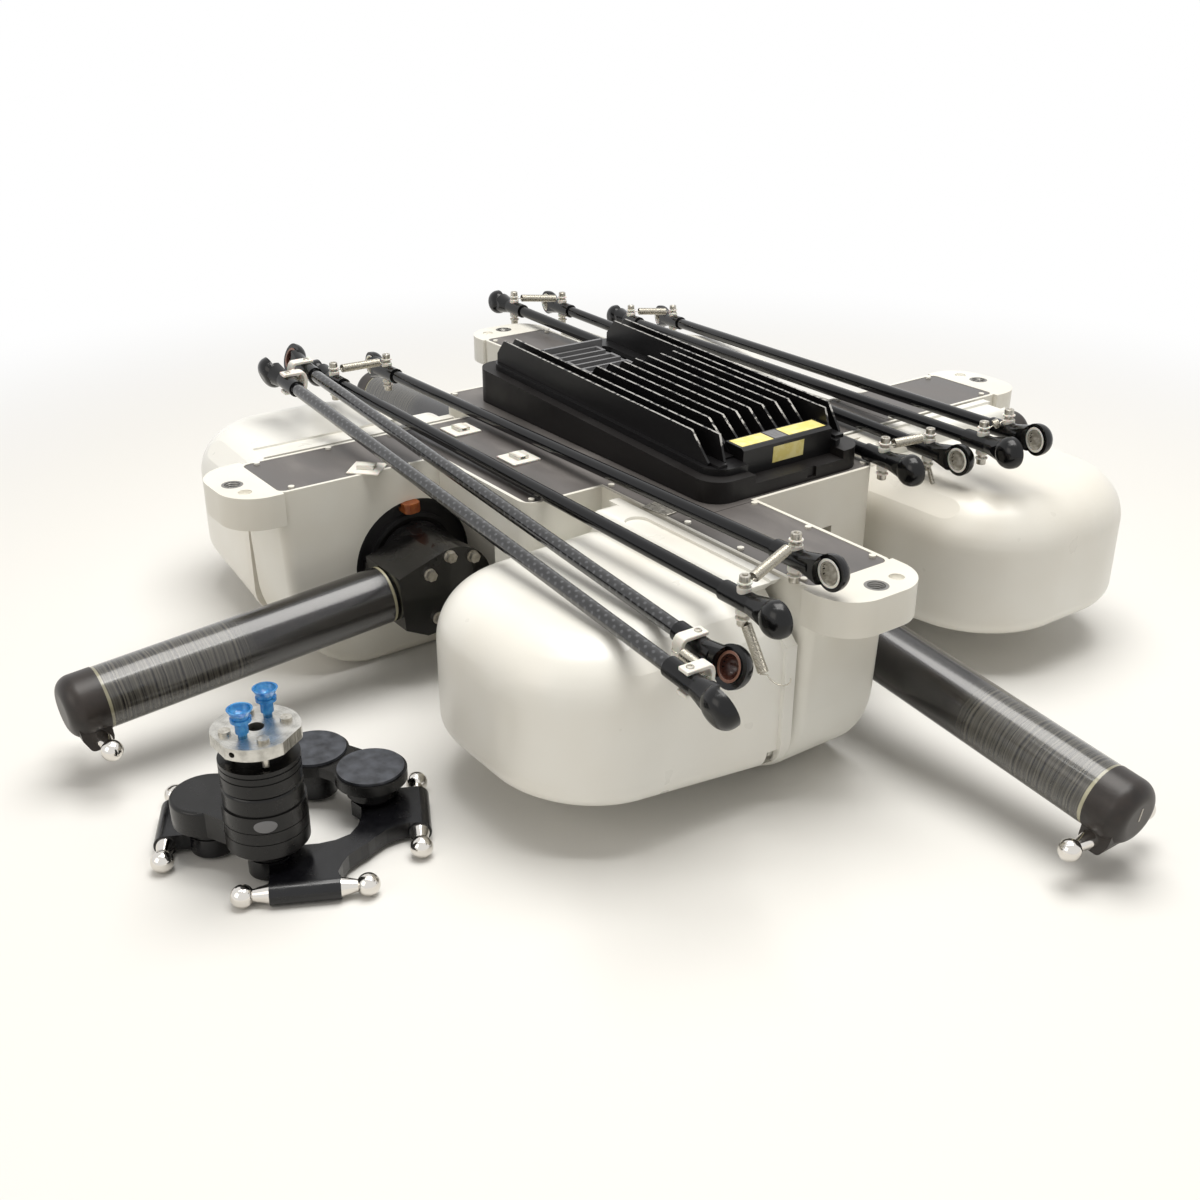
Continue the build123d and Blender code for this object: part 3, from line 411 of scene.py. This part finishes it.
turned, tree, shader = finish("turned_aluminium", "C4C2BC", 0.3, 1.0)
place = add(tree, "TexCoord").outputs["Object"]
offset = add(tree, "Mapping", {"Vector": place, "Location": -TOOL_AXIS * MM}).outputs["Vector"]
flatten = add(tree, "VectorMath", {0: offset, 1: (1, 1, 0)}, operation="MULTIPLY").outputs["Vector"]
radius = add(tree, "VectorMath", {0: flatten}, operation="LENGTH").outputs["Value"]
rings = add(tree, "TexNoise", {"W": radius, "Scale": 1 / (0.35 * MM), "Detail": 3.0}, noise_dimensions="1D")
cloud = blotches(tree, 9, 5.0)
paint(tree, shader, cloud, (0.35, "ABA9A3"), (0.6, "CAC8C2"))
vary(tree, shader, rings.outputs["Fac"], 0.22, 0.42)
relief(tree, shader, rings.outputs["Fac"], 0.01, 0.6)

cup_rubber, tree, shader = finish("blue_silicone", "3E9BDC", 0.12, ior=1.41, transmission_weight=0.55)
paint(tree, shader, blotches(tree, 5), (0.4, "2F8CD0"), (0.65, "5AB0E8"))
vary(tree, shader, blotches(tree, 4), 0.08, 0.2)
print(turned.name, cup_rubber.name)

# %% [markdown]
# Every CAD solid has a slot in its record, such as `white_casting`. One table gives each slot its
# finish, and the arm tubes then get their own copies.

# %% Finishes onto the CAD solids
FINISH = {
    "white_casting": powder_coat, "white_cover": gel_coat, "grey_panel": panel_paint,
    "housing_screw": powder_coat, "motor_black": box_black, "gearbox_steel": box_black,
    "seal_black": seal_rubber, "stop_amber": urethane, "insert_steel": ground_steel,
    "amplifier_black": box_black, "heat_sink_black": sink_black, "connector_grey": grey_plastic,
    "hub_black": enamel, "cap_dark": cap_coat, "ball_chrome": chrome, "bolt_zinc": zinc,
    "socket_black": nylon, "spring_steel": spring_wire, "plate_black": anodised,
    "pin_steel": ground_steel, "link_black": link_coat, "disc_grey": disc_coat,
    "flange_black": link_coat, "adapter_aluminium": turned, "adapter_screw": zinc,
    "cup_blue": cup_rubber, "rod_carbon": rod_lacquer,
}


def dress(piece, made):
    """Gives a piece one finish on all its faces."""
    piece.data.materials.clear()
    piece.data.materials.append(made)


for name, node in frame["nodes"].items():
    arm = name.split("_")[1] if name.startswith("arm_") else ""
    dress(node, wound[arm] if name.endswith("_tube") else FINISH[slot_of[name]])
dress(frame["nodes"]["rods_a_tubes"], woven)
print("dressed", len(frame["nodes"]), "solids")

# %% [markdown]
# ## Rods, springs and bearing cups
#
# Each outer rod carries a bearing cup at both ends, and springs pull a pair of rods together so
# that the cups stay on their balls. A rod lies where its two ball centres say, so we build every
# small part at the left end of a rod along X and then carry it to its rod. A far end is the same
# part reflected. The profile of a turned part is a list of radii and heights, spun round an axis.

# %% Where the rods lie, and how turned parts are spun
ROD_LENGTH = 825.0
BOLT_BACK = 42.0
HOOK_LEVEL = 14.0
HOOK_REACH = 19.5
RODS = {
    "a": (((-320, -301, 39), (503, -316, -20)), ((-360, -259, 38), (463, -275, -17))),
    "b": (((-369, -221, 12), (456, -219, 6)), ((-380, -143, 6), (444, -152, 24))),
    "c": (((-533, 146, 16), (291, 118, 10)), ((-524, 224, 6), (300, 176, 11))),
    "d": (((-471, 314, -17), (345, 202, 27)), ((-450, 379, -23), (357, 222, 40))),
}


def rod_frame(ends):
    """Frame of a rod: left ball centre at the origin, X along the rod, Z as near up as it can be."""
    left, right = (Vector((x, y, z + DECK)) for x, y, z in ends)
    along = (right - left).normalized()
    side = Vector((0, 0, 1)).cross(along).normalized()
    up = along.cross(side)
    start = (left + right) / 2 - along * ROD_LENGTH / 2
    return Matrix.Translation(start) @ Matrix((along, side, up)).transposed().to_4x4()


def rod_frames(name):
    """Frames of the two rods of a pair, in millimetres."""
    return [rod_frame(ends) for ends in RODS[name]]


FAR = at(ROD_LENGTH, 0, 0) @ Matrix.Diagonal((-1, 1, 1, 1))
ENDS = (Matrix.Identity(4), FAR)
ABOUT_Y = turned_by(-90, "X")


def spun(mesh, profile, pose, steps=32):
    """Spins (radius, height) points round Z, then places the result; heights run along the axis."""
    rings = []
    for radius, height in profile:
        if radius < 0.01:
            rings.append([mesh.verts.new(pose @ Vector((0, 0, height)))] * steps)
            continue
        ring = []
        for index in range(steps):
            angle = 2 * math.pi * index / steps
            corner = Vector((radius * math.cos(angle), radius * math.sin(angle), height))
            ring.append(mesh.verts.new(pose @ corner))
        rings.append(ring)
    for low, high in zip(rings, rings[1:]):
        for index in range(steps):
            after = (index + 1) % steps
            corners = [low[index], low[after], high[after], high[index]]
            corners = [corner for place, corner in enumerate(corners) if corner not in corners[:place]]
            if len(corners) > 2:
                mesh.faces.new(corners)


def brick(mesh, x0, x1, y0, y1, z0, z1, pose):
    """Rectangular block between opposite corners."""
    corners = bmesh.ops.create_cube(mesh, size=1.0)["verts"]
    middle = Vector(((x0 + x1) / 2, (y0 + y1) / 2, (z0 + z1) / 2))
    scale = Matrix.Diagonal((x1 - x0, y1 - y0, z1 - z0, 1))
    bmesh.ops.transform(mesh, matrix=pose @ Matrix.Translation(middle) @ scale, verts=corners)


def placed(name, mesh, made, body, bevel=0.0):
    """Turns a millimetre bmesh into a scene piece that rides on a body."""
    bmesh.ops.recalc_face_normals(mesh, faces=mesh.faces)
    bmesh.ops.scale(mesh, vec=(MM, MM, MM), verts=mesh.verts)
    data = bpy.data.meshes.new(name)
    mesh.to_mesh(data)
    mesh.free()
    data.shade_smooth()
    data.set_sharp_from_angle(angle=math.radians(35))
    return settled(name, data, made, body, bevel)


def settled(name, data, made, body, bevel=0.0):
    """Links a mesh or curve as a piece with its finish and body."""
    piece = bpy.data.objects.new(name, data)
    bpy.context.scene.collection.objects.link(piece)
    dress(piece, made)
    if bevel:
        edge = piece.modifiers.new("edge", "BEVEL")
        edge.width = bevel * MM
        edge.segments = 3
        edge.limit_method = "ANGLE"
    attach(piece, body)
    return piece


def wires(name, paths, thick, made, body):
    """Round wires of one thickness along lists of points, in millimetres, as one curve."""
    data = bpy.data.curves.new(name, "CURVE")
    data.dimensions = "3D"
    data.bevel_depth = thick / 2 * MM
    data.bevel_resolution = 2
    data.use_fill_caps = True
    for path in paths:
        line = data.splines.new("POLY")
        line.points.add(len(path) - 1)
        for point, place in zip(line.points, path):
            point.co = (*(place * MM), 1.0)
    return settled(name, data, made, body)


print("rods", sum(len(pair) for pair in RODS.values()))

# %% [markdown]
# A bearing cup is lined with a slippery plastic, thin and polished by its ball. On three pairs the
# liner is white with a greyed bowl, and on the oldest pair it is brown. Each is a thin spun shell
# that lies on the solid liner. The cups of the oldest pair are tilted on their rods.

# %% Liners
OLD_CUP_TILT = 20
RIM = [(13.0, -1.3), (12.8, -1.7), (10.7, -1.7), (10.15, -1.2)]
BOWL_R = 10.12
BOWL = [(10.15, -1.2), (BOWL_R, 0.0)]
for angle in range(10, 91, 10):
    BOWL.append((BOWL_R * math.cos(math.radians(angle)), BOWL_R * math.sin(math.radians(angle))))
for name in RODS:
    older = name == "a"
    rim_finish, bowl_finish = (brown_rim, brown_liner) if older else (acetal, grey_liner)
    rims, bowls = bmesh.new(), bmesh.new()
    for index, frame_of_rod in enumerate(rod_frames(name)):
        face = 1 if index == 0 else -1
        lean = turned_by(OLD_CUP_TILT * face if older else 0, "X") @ turned_by(180 if face > 0 else 0, "X")
        for end in ENDS:
            seat = frame_of_rod @ lean @ end @ ABOUT_Y
            spun(rims, RIM, seat, 40)
            spun(bowls, BOWL, seat, 40)
    placed(f"rods_{name}_liner_rims", rims, rim_finish, f"rods_{name}")
    placed(f"rods_{name}_liner_bowls", bowls, bowl_finish, f"rods_{name}")
print("liners on", len(RODS), "pairs")

# %% [markdown]
# A spring is closed wire coil with a hook at each end. The wire follows a helix round the line
# between two bolts, and straightens into a ring round each bolt. The bolts are socket screws with
# a white collar below the hook and a white washer above it, on both faces of the rod.

# %% Coil springs
WIRE = 1.1
COIL_PITCH = 1.15
COIL_R = 4.5
EYE_R = 4.7
EYE_STEPS = 12
TURN_STEPS = 14
SPRING_EYE_GAP = 12
HOOK_EYE_GAP = 7


def coil(start, finish, up, gap):
    """Points along a closed coil between two hooks: a ring, a leg, the helix, a leg and a ring."""
    along = (finish - start).normalized()
    side = up.cross(along).normalized()
    up = along.cross(side)
    free = min(gap, 0.4 * (finish - start).length)
    length = (finish - start).length - 2 * free
    turns = max(3, round(length / COIL_PITCH))
    points = []
    for step in range(EYE_STEPS):
        angle = math.radians(40 + 25 * step)
        points.append(start + (along * math.cos(angle) + side * math.sin(angle)) * EYE_R)
    points.append(start + along * (free - 1.5) + side * -COIL_R * 0.3)
    for step in range(turns * TURN_STEPS + 1):
        angle = 2 * math.pi * step / TURN_STEPS
        ring = side * -math.cos(angle) * COIL_R + up * math.sin(angle) * COIL_R
        points.append(start + along * (free + length * step / (turns * TURN_STEPS)) + ring)
    points.append(finish - along * (free - 1.5) + side * -COIL_R * 0.3)
    for step in range(EYE_STEPS):
        angle = math.radians(-40 - 25 * step)
        points.append(finish + (-along * math.cos(angle) + side * math.sin(angle)) * EYE_R)
    return points


def hook_points(frames, back, level, reach=0.0):
    """Where the springs of a pair hang at one end, one point on each rod."""
    return frames[0] @ Vector((back, reach, level)), frames[1] @ Vector((back, -reach, level))


COLLAR = [(0, 7.2), (6.0, 7.2), (6.35, 8.2), (6.35, 11.8), (5.8, 12.5), (0, 12.5)]
WASHER = [(0, 15.5), (6.1, 15.5), (6.4, 15.8), (6.4, 16.9), (6.1, 17.2), (0, 17.2)]
SCREW = [(3.9, 12.0), (3.9, 17.0), (4.6, 17.25), (4.85, 17.5), (4.85, 22.4), (4.4, 23.0), (2.7, 23.0),
         (2.4, 22.6), (2.3, 19.6), (0, 19.6)]
for name in "bcd":
    frames = rod_frames(name)
    collars, screws, paths = bmesh.new(), bmesh.new(), []
    for frame_of_rod in frames:
        for end in ENDS:
            for flip in (0, 180):
                seat = frame_of_rod @ end @ at(BOLT_BACK, 0, 0) @ turned_by(flip, "X")
                spun(collars, COLLAR, seat)
                spun(collars, WASHER, seat)
                spun(screws, SCREW, seat, 30)
    for back in (BOLT_BACK, ROD_LENGTH - BOLT_BACK):
        near, far = hook_points(frames, back, HOOK_LEVEL)
        paths.append(coil(near, far, frames[0].col[2].to_3d(), SPRING_EYE_GAP))
    pieces = [
        placed(f"rods_{name}_collars", collars, acetal, f"rods_{name}"),
        placed(f"rods_{name}_screws", screws, zinc, f"rods_{name}"),
        wires(f"rods_{name}_coils", paths, WIRE, spring_wire, f"rods_{name}")]
    for piece in pieces:
        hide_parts(f"rods_{name}_springs")
print("coil springs on three pairs")

# %% [markdown]
# The oldest pair has bent white plastic hooks in place of bolts. Each is a flat strip that goes
# over the rod, turns down at its side and comes back under it, with a small screw in each face.

# %% Bracket hooks on the oldest pair
def strip(mesh, outline, x0, x1, pose):
    """Flat strip of plastic that follows an outline of (y, z) points, from x0 to x1."""
    sides = [[mesh.verts.new(pose @ Vector((x, y, z))) for y, z in outline] for x in (x0, x1)]
    mesh.faces.new(sides[0])
    mesh.faces.new(list(reversed(sides[1])))
    for index in range(len(outline)):
        after = (index + 1) % len(outline)
        mesh.faces.new([sides[0][index], sides[1][index], sides[1][after], sides[0][after]])


HOOK = [(-7, 12.2), (15.5, 12.2), (18.5, 11.2), (20.4, 8.6), (21.8, 4), (21.8, -4), (20.4, -8.6),
        (18.5, -11.2), (15.5, -12.2), (-7, -12.2), (-7, -8.6), (14.5, -8.6), (16.6, -7), (17.6, -3.5),
        (17.6, 3.5), (16.6, 7), (14.5, 8.6), (-7, 8.6)]
PIN = [(0, 12.0), (3.4, 12.0), (3.4, 12.7), (2.9, 13.3), (1.6, 13.4), (1.4, 12.7), (0, 12.7)]
frames = rod_frames("a")
hooks, pins, paths = bmesh.new(), bmesh.new(), []
for frame_of_rod, flip in zip(frames, (0, 180)):
    for end in ENDS:
        seat = frame_of_rod @ end @ turned_by(flip, "X")
        strip(hooks, HOOK, BOLT_BACK - 6, BOLT_BACK + 6, seat)
        for turn in (0, 180):
            spun(pins, PIN, frame_of_rod @ end @ at(BOLT_BACK, 0, 0) @ turned_by(turn, "X"), 24)
for back in (BOLT_BACK, ROD_LENGTH - BOLT_BACK):
    near, far = hook_points(frames, back, 0.0, HOOK_REACH)
    paths.append(coil(near, far, frames[0].col[2].to_3d(), HOOK_EYE_GAP))
for piece in (placed("rods_a_hooks", hooks, acetal, "rods_a", 0.9),
              placed("rods_a_pins", pins, zinc, "rods_a"),
              wires("rods_a_coils", paths, WIRE, spring_wire, "rods_a")):
    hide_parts("rods_a_springs")
print("bracket hooks on the oldest pair")

# %% [markdown]
# ## Small things on the base and the amplifier
#
# The amplifier carries three plain yellow stickers and a grey one: they are left blank. On the
# deck are three square white cable-tie mounts and a small metal plate. All are thin blocks, laid
# on the surface that they stick to.

# %% Stickers, tie mounts and the deck plate
TILT = math.degrees(math.atan(SINK_SLOPE))
AMP = at(232, 6, DECK + 22) @ turned_by(TILT, "Y")
stickers = bmesh.new()
brick(stickers, -46, -26, -46, -4, 20, 20.25, AMP)
brick(stickers, -46, -26, 17, 68, 20, 20.25, AMP)
brick(stickers, -20, -19.7, -9, 33, -2.5, 14.5, AMP)
placed("amplifier_stickers", stickers, blank_label, "base")
tag = bmesh.new()
brick(tag, -46, -26, -2, 15, 20, 20.3, AMP)
spun(tag, [(2.2, 20.3), (2.2, 20.5), (4.4, 20.5), (4.4, 20.3)], AMP @ at(-36, 6.5, 0), 24)
placed("amplifier_tag", tag, grey_plastic, "base", 0.1)

mounts = bmesh.new()
for x, y, turn in ((-110, -175, 0), (5, -173, 0), (-60, -318, 45)):
    pose = at(x, y, DECK) @ turned_by(turn, "Z")
    brick(mounts, -17, 17, -17, 17, -0.4, 1.6, pose)
    brick(mounts, -9, 9, -7, -3, 1.6, 5.5, pose)
    brick(mounts, -9, 9, 3, 7, 1.6, 5.5, pose)
    brick(mounts, -9, 9, -7, 7, 4.2, 5.5, pose)
placed("cable_tie_mounts", mounts, acetal, "base", 0.6)
plate = bmesh.new()
brick(plate, -16, 16, -13, 13, -0.4, 1.4, at(205, -137, DECK) @ turned_by(8, "Z"))
placed("deck_plate", plate, zinc, "base", 0.5)
print("stickers, mounts and deck plate")

# %% [markdown]
# The gear case of the plate has an oval grey plug in its side and a silver slot in its lobe, and
# both follow the round wall that they sit in. So each is drawn flat, as a rounded patch in degrees
# and height, and wrapped round the wall.

# %% Plug and slot on the gear case
def wrapped(mesh, centre, radius, bearing, level, wide, tall, proud):
    """Oval patch on a round upright wall, raised in the middle by proud."""
    rows = []
    for share in (1.0, 0.8, 0.0):
        lift = proud if share < 1 else 0.0
        row = []
        for step in range(24):
            turn = 2 * math.pi * step / 24
            angle = math.radians(bearing) + share * wide / 2 / radius * math.cos(turn)
            reach = radius + lift
            row.append(mesh.verts.new(centre + Vector((reach * math.cos(angle), reach * math.sin(angle),
                                                       level + share * tall / 2 * math.sin(turn)))))
        rows.append(row)
    for outer, inner in zip(rows, rows[1:]):
        for step in range(24):
            after = (step + 1) % 24
            mesh.faces.new([outer[step], outer[after], inner[after], inner[step]])
    bmesh.ops.remove_doubles(mesh, verts=rows[-1], dist=0.001)


lobe_axis = PLATE @ Vector((20, -72.3, 0))
plug, silver = bmesh.new(), bmesh.new()
wrapped(plug, TOOL_AXIS, 34.9, -23, 68, 20, 12, 0.5)
wrapped(silver, lobe_axis, 31.9, -17, 39, 11, 5, 0.4)
placed("gear_case_plug", plug, grey_plastic, "gear_link")
placed("lobe_slot", silver, zinc, "gear_link")
print("plug and slot")

# %% [markdown]
# The front arm's cap is marked with a plain figure one, as paired parts often are. It is a text
# curve laid on the outer face of the cap.

# %% The figure on the front cap
figure = bpy.data.curves.new("cap_figure", "FONT")
figure.body = "1"
figure.size = 20 * MM
figure.extrude = 0.15 * MM
figure.align_x = "CENTER"
figure.align_y = "CENTER"
figure_place = Matrix.Translation(Vector((397.1, 0, 4)) * MM)
figure_pose = Matrix.Translation(PIVOT * MM) @ turned_by(DROOP["front"], "Y") @ figure_place
figure_pose = figure_pose @ turned_by(90, "Z") @ turned_by(90, "X")
mark = bpy.data.objects.new("cap_figure", figure)
bpy.context.scene.collection.objects.link(mark)
mark.matrix_world = figure_pose
mark.data.materials.append(pale_ink)
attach(mark, "arm_front")
print("figure on the front cap")

# %% [markdown]
# Two springs have come off a bolt and hang loose: a long one below the near rods, with its wire
# hook out to one side, and a small one below the middle pair.

# %% Loose springs
def dangling(top, bottom, sway, radius, pitch):
    """Coil that hangs from a ring at top to bottom, then ends in a bent hook towards sway."""
    along = (bottom - top).normalized()
    side = along.cross(Vector((0, 0, 1)) if abs(along.z) < 0.9 else Vector((0, 1, 0))).normalized()
    up = along.cross(side)
    length = (bottom - top).length
    turns = round((length - 8) / pitch)
    points = [top + (side * math.cos(0.6 * step) + up * math.sin(0.6 * step)) * 3.4 for step in range(9)]
    for step in range(turns * TURN_STEPS + 1):
        angle = 2 * math.pi * step / TURN_STEPS
        ring = side * math.cos(angle) * radius + up * math.sin(angle) * radius
        points.append(top + along * (8 + (length - 8) * step / (turns * TURN_STEPS)) + ring)
    for step in range(8):
        turn = math.radians(24 * step)
        points.append(bottom + along * (2 + 9 * math.sin(turn)) + sway * (3 + 10 * (1 - math.cos(turn))))
    return points


frames = rod_frames("b")
hang = frames[0] @ Vector((ROD_LENGTH - BOLT_BACK, 0, -14))
loose = [dangling(hang, hang + Vector((22, 6, -46)), Vector((0.8, 0.55, 0.1)), 4.3, COIL_PITCH)]
frames = rod_frames("c")
hang = frames[1] @ Vector((ROD_LENGTH - BOLT_BACK, 0, -14))
short = [dangling(hang, hang + Vector((14, -4, -20)), Vector((0.7, 0.6, 0.2)), 2.2, 0.9)]
wires("rods_b_loose_spring", loose, WIRE, spring_wire, "rods_b")
wires("rods_c_loose_loop", short, 0.8, spring_wire, "rods_c")
print("loose springs")

# %% [markdown]
# The mounting pads have threaded sleeves. A thread is too fine to see as a helix from here, so
# each sleeve gets a stack of shallow rings: a saw-tooth profile spun round the hole.

# %% Threads in the mounting holes
HOLE_SQUARE = 650.0
HOLE_ASIDE = 98.7
HOLE_OUT = math.sqrt(HOLE_SQUARE ** 2 / 2 - HOLE_ASIDE ** 2)
threads = bmesh.new()
teeth = [(7.95 - 0.75 * (index % 2), 217.2 - 1.0 * index) for index in range(24)]
for turn in range(4):
    spun(threads, teeth, quarter(turn) @ at(HOLE_OUT, -HOLE_ASIDE, 0), 40)
placed("pad_threads", threads, ground_steel, "base")
print("threads in the four pads")

# %% [markdown]
# ## Light and floor
#
# A plain pale floor keeps the shadows, and fades to paper white away from the robot. The light is
# one broad soft panel overhead, a thin strip that draws a line of light along every tube, and a
# weak panel on the camera's left, with a little warm light from all round, as in a workshop. The
# camera and the shiny parts see the surroundings as white, and the rest is lit by their true level.

# %% Floor, lamps and surroundings
floor_paint, tree, shader = finish("pale_floor", "E8E7E4", 0.6)
vary(tree, shader, blotches(tree, 400), 0.55, 0.65)
place = add(tree, "NewGeometry").outputs["Position"]
distance = add(tree, "VectorMath", {0: place}, operation="LENGTH").outputs["Value"]
fading = {"Value": distance, "From Min": 0.75, "From Max": 1.7}
away = add(tree, "MapRange", fading, interpolation_type="SMOOTHSTEP").outputs[0]
look = add(tree, "LightPath").outputs
eye = reckon(tree, "MAXIMUM", look["Is Camera Ray"], look["Is Glossy Ray"])
fade = reckon(tree, "MULTIPLY", away, eye)
paper = add(tree, "Emission", {"Color": (1, 1, 1, 1), "Strength": 1.0}).outputs[0]
mixed = add(tree, "MixShader", {0: fade, 1: shader.outputs[0], 2: paper}).outputs[0]
tree.links.new(mixed, tree.nodes["Material Output"].inputs["Surface"])

sheet = bmesh.new()
bmesh.ops.create_grid(sheet, x_segments=1, y_segments=1, size=6.0)
floor_mesh = bpy.data.meshes.new("floor")
sheet.to_mesh(floor_mesh)
sheet.free()
floor = bpy.data.objects.new("floor", floor_mesh)
bpy.context.scene.collection.objects.link(floor)
dress(floor, floor_paint)


def soft_lamp(name, place, target, size, watts, colour, length=None):
    """Area lamp aimed at a point: square, or a strip of the given length."""
    light = bpy.data.lights.new(name, "AREA")
    light.shape = "RECTANGLE"
    light.size = length or size
    light.size_y = size
    light.energy = watts
    light.color = linear(colour)[:3]
    lamp = bpy.data.objects.new(name, light)
    lamp.location = place
    lamp.rotation_euler = (Vector(target) - Vector(place)).to_track_quat("-Z", "Y").to_euler()
    bpy.context.scene.collection.objects.link(lamp)


soft_lamp("overhead", (0.1, 0.2, 2.6), (0.0, 0.0, 0.1), 1.8, 66, "FFFDF9")
soft_lamp("strip", (0.55, -0.5, 2.5), (0.1, -0.1, 0.1), 0.1, 9, "FFFFFB", 2.6)
soft_lamp("left_fill", (0.3, -2.4, 1.3), (0.0, 0.0, 0.15), 1.4, 9, "FFF8EE")

world = bpy.data.worlds.new("surroundings")
world.use_nodes = True
tree = world.node_tree
sky = tree.nodes["Background"]
sky.inputs["Color"].default_value = linear("F7F3EC")
sky.inputs["Strength"].default_value = 0.38
seen = add(tree, "Background", {"Color": (1, 1, 1, 1), "Strength": 1.0})
ray = add(tree, "LightPath").outputs
clear = reckon(tree, "MAXIMUM", ray["Is Camera Ray"], ray["Is Transmission Ray"])
clear = reckon(tree, "MAXIMUM", clear, ray["Is Glossy Ray"])
both = add(tree, "MixShader", {0: clear, 1: sky.outputs[0], 2: seen.outputs[0]})
tree.links.new(both.outputs[0], tree.nodes["World Output"].inputs["Surface"])
bpy.context.scene.world = world
bpy.context.scene.view_settings.view_transform = "Standard"
print("lamps and surroundings set")
